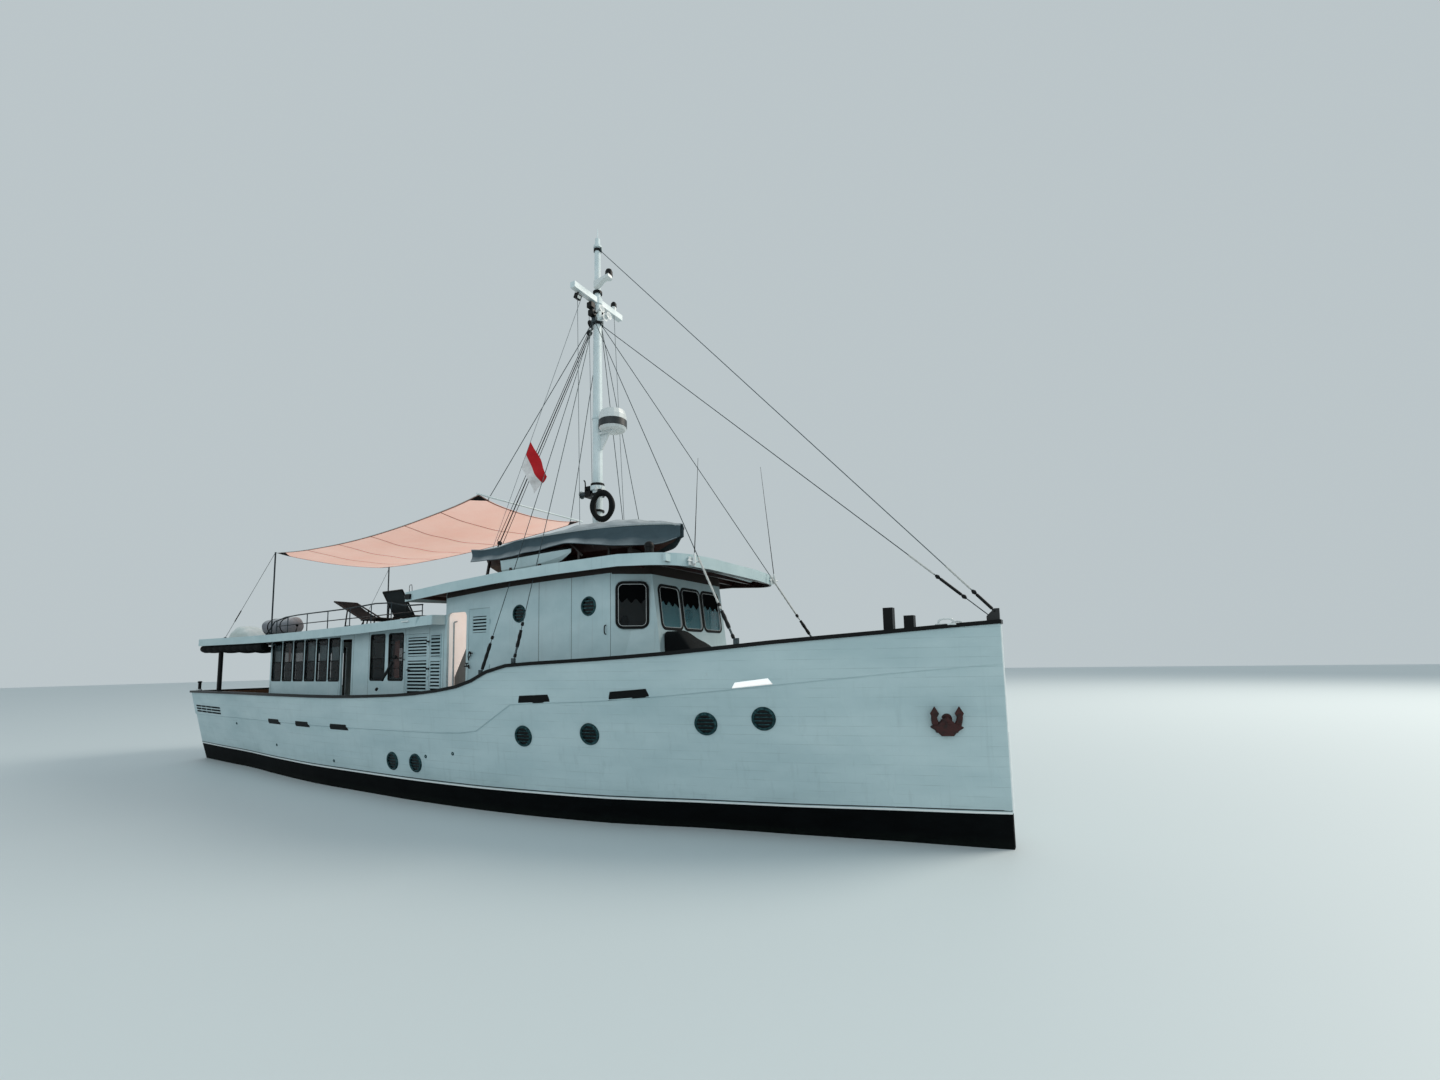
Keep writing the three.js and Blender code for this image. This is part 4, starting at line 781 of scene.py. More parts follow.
outlets = {
    "places": [(-8.1, 1.21), (-5.5, 0.78), (0.8, 0.92), (1.6, 1.02), (-2.6, 0.60)],
    "lip": [(0.016, -0.003), (0.016, 0.012), (0.024, 0.014), (0.034, 0.006), (0.036, -0.003),
            (0.016, -0.003)],
}
outletParts = [lathe(outlets["lip"], *hullSpot(*place)[:2], 16) for place in outlets["places"]]
pair("hull_outlets", outletParts, "verdigris")
print("yacht: hull pieces made")


# Houses: windows, louvres, seams and door furniture. The wall's outer face is at y = -1.65
wallY = -1.65
wall = ((1, 0, 0), (0, 0, 1))
outward = (0, -1, 0)

saloonWindows = {
    "first": -7.22, "pitch": 0.592, "count": 6, "width": 0.52, "low": 2.36, "high": 3.44,
    "wide": [(-2.40, -1.81, 2.38, 3.46), (-1.66, -1.08, 2.38, 3.46)], "radius": 0.04,
    "gasket": 0.022, "transom": 0.53, "glassDepth": 0.022, "drawn": (0, 3, 4, 5), "open": 7,
    "loweredY": (-1.592, -1.586), "shadeY": (-1.592, -1.588), "drawnY": (-1.584, -1.580), "blindInset": 0.012,
    "bars": [(0.012, 0.03, -0.014, 0.014), (0.014, 0.026, -0.235, -0.222)],
}


def windowSpans():
    w = saloonWindows
    starts = [w["first"] + i * w["pitch"] for i in range(w["count"])]
    return [(x, x + w["width"], w["low"], w["high"]) for x in starts] + w["wide"]


def saloonWindowParts():
    w = saloonWindows
    gaskets, panes, sashes, lowered, drawn = [], [], [], [], []
    for k, (a, b, low, high) in enumerate(windowSpans()):
        x, z = (a + b) / 2, (low + high) / 2
        inner = roundBox(b - a - w["gasket"], high - low - w["gasket"], w["radius"])
        gaskets.append(frameRing(inner, (x, wallY + 0.016, z), *wall, w["gasket"] * 1.6, 0.022))
        panes.append(plate(inner, (x, wallY + w["glassDepth"], z), *wall, 0.006))
        barZ = high - (high - low) * w["transom"]
        for near, far, foot, head in w["bars"]:
            sashes.append(slab((a + 0.01, b - 0.01), (wallY + near, wallY + far), (barZ + foot, barZ + head)))
        inset = w["blindInset"]
        a, b, low, high = a + inset, b - inset, low + inset, high - inset
        shade = high - 0.088 - 0.06 * (k % 3)
        if k != w["open"]:
            lowered.append(slab((a, b), w["loweredY"], (low, barZ + 0.01)))
        lowered.append(slab((a, b), w["shadeY"], (shade, high)))
        if k in w["drawn"]:
            drawn.append(slab((a, b), w["drawnY"], (barZ, shade + 0.01)))
    return gaskets, panes, sashes, lowered, drawn


gaskets, panes, sashes, lowered, drawn = saloonWindowParts()
pair("saloon_window_gaskets", gaskets, "rubber")
pair("saloon_window_glass", panes, "glass")
pair("saloon_window_sashes", sashes, "rubber", bevel=0.003)
pair("saloon_lower_blinds", lowered, "blind", "dark_trim")
pair("saloon_drawn_blinds", drawn, "blindGrey")

# Hanging cloth drawn to one side of each pane: y = wall + depth * sin(folds), over a share of the width
curtains = {"depth": 0.012, "folds": 4, "inside": 0.055, "pink": (1, 2, 5, 7),
            "shares": (0.0, 0.22, 0.20, 0.26, 0.0, 0.42, 0.0, 0.36)}


def curtainPart(k, a, b, low, high):
    share = curtains["shares"][k]
    start = a + 0.02 if k % 2 else b - 0.02 - share * (b - a)
    u, v = steps(0, 1, 36), steps(0, 1, 10)[:, None]
    x = start + share * (b - a) * (0.5 + (u[None] - 0.5) * (1 - 0.18 * np.sin(v * np.pi)))
    wave = curtains["depth"] * np.sin(curtains["folds"] * tau * u)[None] * np.ones((10, 1))
    z = high - 0.02 - v * (high - low - 0.08) + 0 * x
    front = np.stack([x, wallY + 0.075 + curtains["inside"] + wave, z], -1)
    return thinSheet(front, front + vec(0, 0.003, 0))


def makeCurtains():
    for side, turned in sides:
        for k, (a, b, low, high) in enumerate(windowSpans()):
            share = curtains["shares"][k]
            if share == 0.0:
                continue
            finish = "pinkCurtain" if k in curtains["pink"] else "curtain"
            part = curtainPart(k, a, b, low, high)
            piece = makePiece("saloon_curtain_%s_%d" % (side, k), turned([part]), finish, smooth=80)


makeCurtains()

aftLights = {"width": 0.62, "height": 0.96, "radius": 0.04, "z": 2.85, "y": (-1.0, 1.0), "x": -7.33}


def aftLightParts():
    a, plane = aftLights, (outward, (0, 0, 1))
    outline = roundBox(a["width"], a["height"], a["radius"])
    rings = [frameRing(outline, (a["x"] + 0.016, y, a["z"]), *plane, 0.035, 0.022) for y in a["y"]]
    return rings, [plate(outline, (a["x"] + 0.022, y, a["z"]), *plane, 0.006) for y in a["y"]]


aftRings, aftGlass = aftLightParts()
makePiece("aft_light_gaskets", aftRings, "rubber")
makePiece("aft_light_glass", aftGlass, "glass")

# Wheelhouse windows: a rubber seal, a clamp ring, a bead and the pane, on the raked front and angled sides
wheelFront = {"rake": 0.12, "topX": 5.56, "topZ": 4.24, "centres": (-0.72, 0.0, 0.72), "width": 0.62,
              "low": 3.31, "high": 4.06, "radius": 0.09, "ring": 0.018, "blind": 0.40}
wheelSide = {"from": 0.12, "to": 0.62, "low": 3.33, "high": 4.08, "radius": 0.09}
cornerX, cornerY, middleZ = 5.0, 1.19, 3.7  # the angled panel runs from the wall at cornerX to the front


def frontX(z):
    return wheelFront["topX"] + wheelFront["rake"] * (wheelFront["topZ"] - z)


# Seal and clamp ring, bead, glass and blind of one wheelhouse window, from its middle and plane
def paneSet(origin, u, v, width, height, radius):
    normal = unit(np.cross(u, v))
    origin = np.asarray(origin, float)

    def loop(wider, rounder):
        return roundBox(width + wider, height + wider, radius + rounder)

    seal = frameRing(loop(0.030, 0.015), origin - normal * 0.004, u, v, 0.046, 0.014)
    ring = frameRing(loop(0.074, 0.036), origin - normal * 0.002, u, v, wheelFront["ring"], 0.011)
    bead = frameRing(loop(-0.014, -0.005), origin - normal * 0.006, u, v, 0.006, 0.019)
    glass = plate(loop(0.002, 0), origin - normal * 0.024, u, v, 0.006)
    # the blind's lower edge droops in shallow scallops
    s = steps(-0.5, 0.5, 40)
    droop = height * wheelFront["blind"] * (1 + 0.13 * np.cos(s * 3 * tau + origin[1] * 4) + 0.10 * s)
    top = np.stack([s * (width - 0.01), np.full(40, height / 2 + 0.03)], 1)[::-1]
    outline = np.concatenate([top, np.stack([s * (width - 0.01), height / 2 - droop], 1)])
    return [seal, ring], [bead], [glass], [plate(outline, origin - normal * 0.014, u, v, 0.004)]


def wheelhouseWindowParts():
    f, s = wheelFront, wheelSide
    rake = unit((-f["rake"], 0, 1))
    z = (f["low"] + f["high"]) / 2
    sets = [paneSet((frontX(z), y, z), (0, 1.0, 0), rake, f["width"], f["high"] - f["low"], f["radius"])
            for y in f["centres"]]
    run = unit((frontX(middleZ) - cornerX, -wallY - cornerY, 0))
    middle = vec(cornerX, wallY, (s["low"] + s["high"]) / 2) + run * (s["from"] + s["to"]) / 2
    middle = middle + unit(np.cross(run, (0, 0, 1))) * 0.002
    side = paneSet(middle, run, (0, 0, 1), s["to"] - s["from"], s["high"] - s["low"], s["radius"])
    return [sum(group, []) for group in zip(*sets)], [bothSides(group) for group in side]


frontParts, sideParts = wheelhouseWindowParts()
seals, beads, frontGlass, frontBlinds = frontParts
sideSeals, sideBeads, cornerGlass, sideBlinds = sideParts
makePiece("wheelhouse_window_seals", seals + sideSeals, "rubber")
makePiece("wheelhouse_window_clamps", beads + sideBeads, "whiteFitting")
makePiece("wheelhouse_window_glass", frontGlass, "wheelGlass")
makePiece("wheelhouse_corner_glass", cornerGlass, "darkGlass")
makePiece("wheelhouse_blinds", frontBlinds + sideBlinds, "blind")

roundLights = {"places": [(2.68, 3.685), (4.475, 3.72)], "outer": 0.178, "inner": 0.138,
               "ribs": (-0.096, -0.032, 0.032, 0.096)}


def roundLightParts():
    r = roundLights
    o, i = r["outer"], r["inner"]
    rim = [(i, -0.03), (i, 0.012), (i + 0.01, 0.022), (o - 0.008, 0.018), (o, 0.0), (o, -0.001), (i, -0.03)]
    rings, glass = [], []
    for x, z in r["places"]:
        rings.append(lathe(rim, (x, wallY, z), outward, 40))
        glass.append(lathe(disc(i, -0.020, -0.012), (x, wallY, z), outward, 32))
        for offset in r["ribs"]:
            half, level = np.sqrt(i ** 2 - offset ** 2), z + offset
            foot, head = (x - half, wallY - 0.002, level - 0.010), (x + half, wallY + 0.010, level + 0.010)
            rings.append(block(foot, head))
    return rings, glass


roundRings, roundGlass = roundLightParts()
pair("round_light_rings", roundRings, "verdigris")
pair("round_light_glass", roundGlass, "portGlass")

# Fixed vent beside the louvred door: painted shade on a plate in the recess, behind a frame with sloping
# slats
narrowLouvre = {"x": (-0.085, 0.285), "blocks": [(1.60, 2.80), (2.90, 3.36)], "slatPitch": 0.075,
                "frame": 0.022, "frameY": (wallY - 0.020, wallY + 0.002)}


def narrowLouvreParts():
    (a, b), pitch, edge = [narrowLouvre[key] for key in ("x", "slatPitch", "frame")]
    tilt = aroundAxis((1, 0, 0), -32)
    shadow, slats = [], []
    for low, high in narrowLouvre["blocks"]:
        shadow.append(block((a + 0.02, wallY - 0.004, low), (b - 0.02, wallY + 0.004, high)))
        count = int(round((high - low) / pitch))
        for z in low + (np.arange(count) + 0.5) * (high - low) / count:
            slats.append(turnedBlock((b - a - 0.04, 0.008, 0.046), ((a + b) / 2, wallY - 0.012, z), tilt))
        for x in (a, b - edge):
            slats.append(slab((x, x + edge), narrowLouvre["frameY"], (low - edge, high + edge)))
        for z in (low - edge, high):
            slats.append(slab((a + 0.020, b - 0.020), narrowLouvre["frameY"], (z, z + edge)))
    return shadow, slats


louvreShadow, louvreSlats = narrowLouvreParts()
pair("narrow_louvre_shade", louvreShadow, "slatShadow")
pair("narrow_louvre_slats", louvreSlats, "door")

# Painted shade behind the louvres: a thin dark plate on the floor of each door's recess
doorShadows = {
    "vent_door": [(-0.935, -0.235, 1.60, 2.825), (-0.935, -0.235, 2.915, 3.34)],
    "wheelhouse_door": [(1.29, 1.715, 3.36, 3.70)],
}
shadowY = (-1.6305, -1.6275)
for door, spans in doorShadows.items():
    shadows = [slab((a, b), shadowY, (low, high)) for a, b, low, high in spans]
    onDoors(door, "_shadow", shadows, "slatShadow")

# Thin joints between the plywood panels, and the shadow gaps round the doors
panelSeams = {
    "wheelhouse": (0.004, 2.2, 4.30, (3.22, 4.06, 4.985)),
    "deckhouse": (0.003, 1.5, 3.54, (-7.25, -3.76, -3.13, -2.47, -1.02, -0.135, 0.36)),
}
seamY = (wallY - 0.0015, wallY + 0.002)
seamParts = [slab((x - half, x + half), seamY, (foot, top))
             for half, foot, top, places in panelSeams.values() for x in places]
pair("panel_seams", seamParts, "bootDark")

doorFurniture = {
    "knobs": [(-0.13, 3.23), (-0.13, 2.64)],
    "knob": [(0, -0.002), (0.024, -0.002), (0.024, 0.004), (0.010, 0.010), (0.010, 0.030), (0.022, 0.036),
             (0.024, 0.048), (0.014, 0.056), (0, 0.057)],
    "grabAt": (-1.03, 2.93), "pullAt": (4.88, 3.28),
    "grab": [(0.002, -0.085), (-0.030, -0.075), (-0.042, 0), (-0.030, 0.075), (0.002, 0.085)],
    "pull": [(0.002, -0.08), (-0.035, -0.065), (-0.045, 0), (-0.035, 0.065), (0.002, 0.08)],
    "rose": [(0, 0), (0.026, 0), (0.026, 0.006), (0.011, 0.010), (0.011, 0.040), (0, 0.041)],
    "lever": [(0, -0.032, 0), (0.03, -0.036, 0), (0.10, -0.034, -0.004), (0.12, -0.030, -0.006)],
    "levers": {"vent_door": (-0.90, 2.62), "wheelhouse_door": (1.235, 2.95)},
}


def grabPart(x, z, points, radius):
    return bentRod([(x, wallY + out, z + rise) for out, rise in points], radius, 8, 20)


def leafHandle(x, z):
    lever = [(x + ahead, wallY + out, z + rise) for ahead, out, rise in doorFurniture["lever"]]
    return [lathe(doorFurniture["rose"], (x, wallY + 0.004, z), outward, 16), bentRod(lever, 0.009, 8, 14)]


knob = doorFurniture["knob"]
knobs = [lathe(knob, (x, wallY - 0.02, z), outward, 16) for x, z in doorFurniture["knobs"]]
pair("door_knobs", knobs + [grabPart(*doorFurniture["grabAt"], doorFurniture["grab"], 0.009)], "black")
for door, place in doorFurniture["levers"].items():
    onDoors(door, "_handle", leafHandle(*place), "black")
pair("side_grab_handles", [grabPart(*doorFurniture["pullAt"], doorFurniture["pull"], 0.010)], "black")

# Water tap with its hose loop beside the wheelhouse door, as offsets from its place on the wall
tap = {
    "x": 1.19, "z": 2.68,
    "flange": [(0, 0), (0.03, 0), (0.03, 0.008), (0.012, 0.012), (0.012, 0.05), (0, 0.052)],
    "spout": [(-0.07, -0.045, 0), (0, -0.048, 0), (0.06, -0.048, -0.005), (0.085, -0.045, -0.05)],
    "stem": [(0, -0.045, 0), (0, -0.045, 0.06)], "handle": [(-0.04, -0.045, 0.06), (0.04, -0.045, 0.06)],
    "hose": [(0.01, -0.01, 0.12), (0.02, -0.03, 0.22), (0.06, -0.03, 0.30), (0.10, -0.03, 0.24),
             (0.05, -0.03, 0.17)],
}


def tapParts():
    place = vec(tap["x"], wallY, tap["z"])
    spout, stem, handle, hose = [place + tap[kind] for kind in ("spout", "stem", "handle", "hose")]
    return [lathe(tap["flange"], place, outward, 14), bentRod(spout, 0.013, 8, 16),
            rod(*stem, 0.010), rod(*handle, 0.011), bentRod(hose, 0.010)]


pair("deck_tap", tapParts(), "black")

# Inside the lobby: bent handrails, and a grey-brown panel on the sloping side of the steps that is
# painted shade for the diagonal shadow across the lobby wall
lobby = {
    "rail": [(0.52, -1.52, 2.05), (0.52, -1.52, 2.9), (0.515, -1.52, 3.52), (0.50, -1.50, 3.62),
             (0.475, -1.42, 3.65)],
    "panel": [(0.485, 1.45), (0.485, 2.45), (1.02, 3.34), (1.10, 3.34), (1.10, 1.45)], "panelY": -1.46,
}
pair("lobby_handrails", [bentRod(lobby["rail"], 0.018, 10, 30)], "leadLine", "moulded_white")
lobbyShadePanel = plate(lobby["panel"], (0, lobby["panelY"], 0), *wall, 0.03)
makePiece("lobby_shade_panels", [lobbyShadePanel], "stairGrey", bevel=0.004)
print("yacht: house pieces made")


# Roof: beams under the forward eave, corner brackets with whip aerials, lamps and deck fittings
eaves = {"batten": (6.10, -1.52, 1.60, 0.075, 0.060), "rafters": (0.62, 5.30, 0.52), "drop": 0.075,
         "deckRafters": (-7.0, 0.1, 0.60), "deckDrop": 0.055, "half": 0.025, "y": (-1.925, wallY - 0.004),
         "lip": ([-0.4, 0.5, 1.5, 2.5, 3.5, 4.5, 5.3], [4.115, 4.174, 4.229, 4.274, 4.297, 4.309, 4.313])}


def roofEdgeZ(x):
    return np.interp(x, [-0.58, 1.7, 3.6, 5.4, 6.59], [4.29, 4.43, 4.49, 4.50, 4.42])


# Underside of the roof panel: its edge line less the camber's fall towards the side
def ceilingZ(x, y):
    return roofEdgeZ(x) - 0.062 + 0.052 * (1 - (np.abs(y) / 2.0) ** 2)


def deckCeilingZ(x):
    return np.interp(x, [-8, -4, -2, 0.3], [3.555, 3.584, 3.625, 3.697])


def eaveParts():
    e = eaves
    x, low, high, width, depth = e["batten"]
    y = steps(low, high, 14)
    path = np.stack([np.full_like(y, x), y, ceilingZ(x, y) - depth], 1)
    beams = [(k, float(ceilingZ(k, 1.8)), e["drop"]) for k in np.arange(*e["rafters"])]
    beams += [(k, float(deckCeilingZ(k)), e["deckDrop"]) for k in np.arange(*e["deckRafters"])]
    rafters = [slab((k - e["half"], k + e["half"]), e["y"], (z - drop, z + 0.01)) for k, z, drop in beams]
    return [carry(band(width, depth + 0.012), path)], rafters


# Painted shade: dark strips along the top of the walls, where the eaves' shade lies
def sideEaveShade():
    x = steps(0.45, 5.02, 24)
    lip = np.interp(x, *eaves["lip"])
    edges = (lip - 0.035, ceilingZ(x, 1.65) - 0.004)
    front = np.stack([np.stack([x, np.full_like(x, wallY - 0.012), z], 1) for z in edges], 1)
    return thinSheet(front, front + vec(0, 0.010, 0))


# The same painted shade across the leaning front:
# along the corner panel, the front, and the other corner panel
def frontEaveShade():
    edges = [[], []]
    for y in steps(-1.64, 1.64, 61):
        over = max(0.0, (abs(y) - cornerY) / 0.46)
        for edge, z in zip(edges, (4.255, float(ceilingZ(5.6, abs(y))) - 0.006)):
            x = cornerX + (frontX(z) - cornerX) * (1 - over)
            edge.append((x + 0.014, y + 0.012 * np.sign(y) * (over > 0), z))
    front = np.stack(edges, 1)
    return thinSheet(front, front - vec(0.010, 0, 0))


makePiece("wall_top_painted_shade", bothSides([sideEaveShade()]) + [frontEaveShade()], "darkTimber")
eaveBatten, eaveRafters = eaveParts()
makePiece("eave_batten", eaveBatten, "house", bevel=0.005)
# The rafters' dark stain is partly painted shade under the eaves
pair("eave_rafters", eaveRafters, "darkTimber", bevel=0.004)

# Tapering whips, foot and tip, on porcelain-white bases that are bolted to the forward fascia
aerials = {
    "whips": [((6.645, -1.50, 4.36), (6.645, -1.33, 6.13)), ((6.645, 1.60, 4.36), (6.645, 1.08, 6.62))],
    "base": [(0, -0.07), (0.030, -0.07), (0.030, 0.03), (0.018, 0.08), (0.012, 0.12), (0, 0.122)],
    "plate": ((6.588, -0.10, -0.09), (6.612, 0.10, 0.05)),
    "arm": ((6.60, -0.13, -0.02), (6.66, 0.12, -0.02)), "stub": ((6.60, 0, -0.045), (6.65, 0, -0.045)),
}


def aerialParts():
    t = steps(0, 1, 8)[:, None]
    whips, brackets = [], []
    for foot, tip in np.array(aerials["whips"]):
        whips.append(carry(circle(0.009, 8), foot * (1 - t) + tip * t, (1, 0, 0), scale=steps(1, 0.35, 8)))
        back, arm, stub = [foot * (0, 1, 1) + aerials[kind] for kind in ("plate", "arm", "stub")]
        brackets += [block(*back), lathe(aerials["base"], foot, tip - foot, 14)]
        brackets += [rod(*arm, 0.013), rod(*stub, 0.020, 10)]
    return whips, brackets


whips, aerialBrackets = aerialParts()
makePiece("whip_aerials", whips, "black")
makePiece("aerial_brackets", aerialBrackets, "whiteFitting", bevel=0.004)

domeLamp = {"place": (5.89, -1.72, 4.55), "radius": 0.085}


def domeLampPart():
    (x, y, z), r = domeLamp["place"], domeLamp["radius"]
    dome = [(0, z - 0.06), (r * 0.9, z - 0.06), (r * 0.9, z + 0.06), (r, z + 0.07)]
    dome += [(r * np.cos(t), z + 0.10 + r * 0.9 * np.sin(t)) for t in steps(0, np.pi / 2, 8)]
    dome[-1] = (0, dome[-1][1])
    return lathe(dome, (x, y, 0))


makePiece("dome_lamp", [domeLampPart()], "black")

fascia = {
    "box": ((-0.49, -2.045, 4.15), (-0.31, -1.995, 4.26)),
    "light": ((-0.60, -2.035, 3.655), (-0.36, -1.985, 3.685)),
    "hook": [(-0.43, -1.97, 4.28), (-0.43, -1.97, 4.44), (-0.35, -1.97, 4.46), (-0.33, -1.97, 4.28)],
}
pair("fascia_box", [block(*fascia["box"]), bentRod(fascia["hook"], 0.007, 6, 20)], "black", bevel=0.004)
pair("fascia_lights", [block(*fascia["light"])], "whiteFitting", bevel=0.004)

# Rolled side curtain under the after eave, and the small gear on the stern rail
curtainRoll = {"aft": (-11.18, -1.86, 3.345), "fore": (-7.24, -1.85, 3.315), "radius": 0.118,
               "sternX": -11.16, "sternHalf": 1.84}


# Rolled cloth: it swells and sags between its ties with |sin|
def rolled(path, phase):
    swell = np.abs(np.sin(phase))
    sag = vec(0, 0, 0.012) * swell[:, None]
    return carry(circle(curtainRoll["radius"], 14), path - sag, scale=0.86 + 0.16 * swell)


def rollParts():
    t, half = steps(0, 1, 90), curtainRoll["sternHalf"]
    y = steps(-half, half, 60)
    aft, fore = vec(*curtainRoll["aft"]), vec(*curtainRoll["fore"])
    stern = np.stack([np.full_like(y, curtainRoll["sternX"]), y, np.full_like(y, aft[2])], 1)
    side = rolled(aft + (fore - aft) * t[:, None], t * 9 * np.pi)
    return bothSides([side]) + [rolled(stern, (y + half) / (2 * half) * 8 * np.pi)]


rollPiece = makePiece("rolled_side_curtains", rollParts(), "darkCanvas")

railGear = {
    "bollard": [(0, 2.08), (0.06, 2.08), (0.055, 2.10), (0.040, 2.13), (0.040, 2.30), (0.058, 2.325),
                (0.058, 2.345), (0.03, 2.36), (0, 2.36)],
    "sternFairlead": ((-10.92, -2.10, 2.082), (-10.74, -2.02, 2.125)),
    "bowFairlead": ((10.16, -0.54, 3.160), (10.44, -0.37, 3.182)),
    "horn": [(10.20, -0.50, 3.165), (10.22, -0.50, 3.235), (10.30, -0.46, 3.255), (10.38, -0.42, 3.24),
             (10.40, -0.41, 3.175)],
}
pair("stern_bollards", [lathe(railGear["bollard"], (-11.06, -1.95, 0), sides=20)], "black")
pair("stern_fairleads", [block(*railGear["sternFairlead"])], "whiteFitting", bevel=0.01)
pair("bow_fairleads", [bentRod(railGear["horn"], 0.016, 10), block(*railGear["bowFairlead"])], "whiteFitting",
     bevel=0.003)
print("yacht: roof and stern pieces made")


# Mast gear: collars, winch and ring at the foot, lamps and horns aloft
mastX = 3.24
mastFoot = {
    "collars": [(6.30, 0.155, 0.05), (6.52, 0.150, 0.06), (5.95, 0.15, 0.04)],
    "drum": [(0, 0), (0.085, 0), (0.085, 0.02), (0.06, 0.03), (0.06, 0.16), (0.085, 0.17), (0.085, 0.19),
             (0, 0.19)],
    "crank": [(-0.20, -0.11, 6.45), (-0.20, -0.16, 6.48), (-0.20, -0.18, 6.62), (-0.20, -0.22, 6.64)],
    "cleat": [(0, -0.03), (0.035, -0.03), (0.045, 0), (0.035, 0.03), (0, 0.03)],
    "cleatAngles": (-60, -10, 40),
}


def collar(inner, outer, low, high, base):  # a plain ring round a mast
    return lathe([(inner, low), (outer, low), (outer, high), (inner, high), (inner, low)], base)


def mastFootParts():
    f, foot = mastFoot, vec(mastX, 0, 0)
    dark = [collar(0.108, r, z, z + h, foot) for z, r, h in f["collars"]]
    # winch on the after side with its drum athwart
    dark.append(turnedBlock((0.16, 0.20, 0.24), (mastX - 0.20, -0.01, 6.42)))
    dark.append(bentRod(foot + f["crank"], 0.014, 8, 16))
    pale = []
    for a in np.radians(f["cleatAngles"]):
        d = vec(np.cos(a), np.sin(a), 0)
        spot = vec(mastX, 0, 6.44) + d * 0.15
        pale.append(lathe(f["cleat"], spot, d, 14))
        pale.append(rod(spot - vec(0, 0, 0.08), spot + vec(0, 0, 0.08), 0.014))
    return dark, pale, [lathe(f["drum"], (mastX - 0.27, -0.01, 6.40), (-1, 0, 0), 20)]


footDark, footPale, footGrey = mastFootParts()
makePiece("mast_winch_and_bands", footDark, "black", bevel=0.004)
makePiece("mast_cleats", footPale, "whiteFitting")
makePiece("mast_winch_drum", footGrey, "galvanised")

hangingRing = {"centre": (3.515, -0.16, 6.02), "radius": 0.255, "thick": 0.062}


# A rope-bound ring hung beside the mast: a torus, its tube swelling between the lashings
def ringParts():
    a = np.arange(64) / 64 * tau
    (x, y, z), r = hangingRing["centre"], hangingRing["radius"]
    path = np.stack([x + 0.78 * r * np.cos(a), y + 0.30 * r * np.cos(a), z + r * 1.12 * np.sin(a)], 1)
    torus = carry(circle(hangingRing["thick"], 14), path, up=unit((-0.4, 0.9, 0)), closed=True,
                  scale=1 + 0.10 * np.cos(4 * a))
    return [torus, rod((mastX + 0.09, -0.05, z + r + 0.16), (x, y, z + r + 0.04), 0.03)]


makePiece("hanging_ring", ringParts(), "rubber")

# Gear round the crosstree: one lamp on its port arm, a flood lamp under the other, horns, a masthead lamp,
# and black collars where the stays come to the masts
loft = {
    "portBase": [(0, 10.83), (0.062, 10.83), (0.058, 10.93), (0, 10.93)],
    "portLamp": [(0, 10.931), (0.070, 10.931), (0.066, 11.01), (0.040, 11.05), (0, 11.05)],
    "flood": (-0.04, -0.60, 10.60),
    "horns": [(-0.12, 10.47, 0.17), (0.14, 10.44, 0.15), (0.03, 10.36, 0.13)],
    "boxes": [(-0.20, 10.60), (-0.16, 10.44), (0.12, 10.62)],
    "bracket": [(-0.02, -0.16), (0.05, -0.15), (0.22, -0.06), (0.40, -0.03), (0.40, 0.03), (-0.02, 0.0)],
    "headLamp": [(0, 11.261), (0.085, 11.261), (0.082, 11.37), (0.06, 11.42), (0, 11.425)],
    "collars": [(12.0, 0.088), (10.98, 0.105), (10.24, 0.125)],
    "speaker": [(0, 0), (0.03, 0), (0.05, 0.08), (0.11, 0.15), (0.10, 0.15), (0.02, 0.05), (0, 0.05)],
}


def hornProfile(length):
    return [(0, 0), (0.026, 0), (0.026, length * 0.5), (0.045, length * 0.8), (0.085, length),
            (0.078, length), (0.03, length * 0.8), (0, length * 0.78)]


def loftParts():
    mast, port, head = vec(mastX, 0, 0), vec(mastX, 0.56, 0), vec(mastX + 0.33, 0, 0)
    flood, tipped = mast + loft["flood"], aroundAxis((0, 1, 0), 25)
    dark = [lathe(loft["portLamp"], port, sides=20), turnedBlock((0.08, 0.15, 0.11), flood, tipped),
            rod(flood + vec(0, 0, 0.04), flood + vec(0.02, 0, 0.12), 0.016)]
    pale = [lathe(loft["portBase"], port, sides=20)]
    for y, z, length in loft["horns"]:
        pale.append(lathe(hornProfile(length), (mastX + 0.07, y, z), (1, 0, 0.05), 18))
        dark.append(rod((mastX, y * 0.3, z), (mastX + 0.10, y, z), 0.022))
    dark += [turnedBlock((0.14, 0.12, 0.12), (mastX - 0.02, y, z)) for y, z in loft["boxes"]]
    pale.append(plate(loft["bracket"], (mastX + 0.06, -0.06, 11.17), *wall, -0.12))
    pale.append(lathe(disc(0.075, 11.20, 11.26), head, sides=20))
    dark.append(lathe(loft["headLamp"], head, sides=20))
    dark += [collar(r - 0.03, r, z - 0.03, z + 0.03, mast) for z, r in loft["collars"]]
    dark.append(lathe(loft["speaker"], (mastX - 0.08, 0.02, 10.35), (-1, 0.2, -0.1), 18))
    return dark, [turnedBlock((0.012, 0.09, 0.06), flood + tipped @ vec(0.045, 0, 0), tipped)], pale


loftDark, loftLens, loftPale = loftParts()
makePiece("masthead_lamp_cases", loftDark, "black", bevel=0.004)
makePiece("masthead_lamp_lenses", loftLens, "lampGlass")
makePiece("masthead_horns", loftPale, "whiteFitting")

radomeSkirt = [(0.300, 7.74), (0.306, 7.745), (0.306, 7.895), (0.300, 7.90), (0.295, 7.82), (0.300, 7.74)]
makePiece("radome_band", [lathe(radomeSkirt, (3.672, 0, 0), sides=48)], "bootDark")

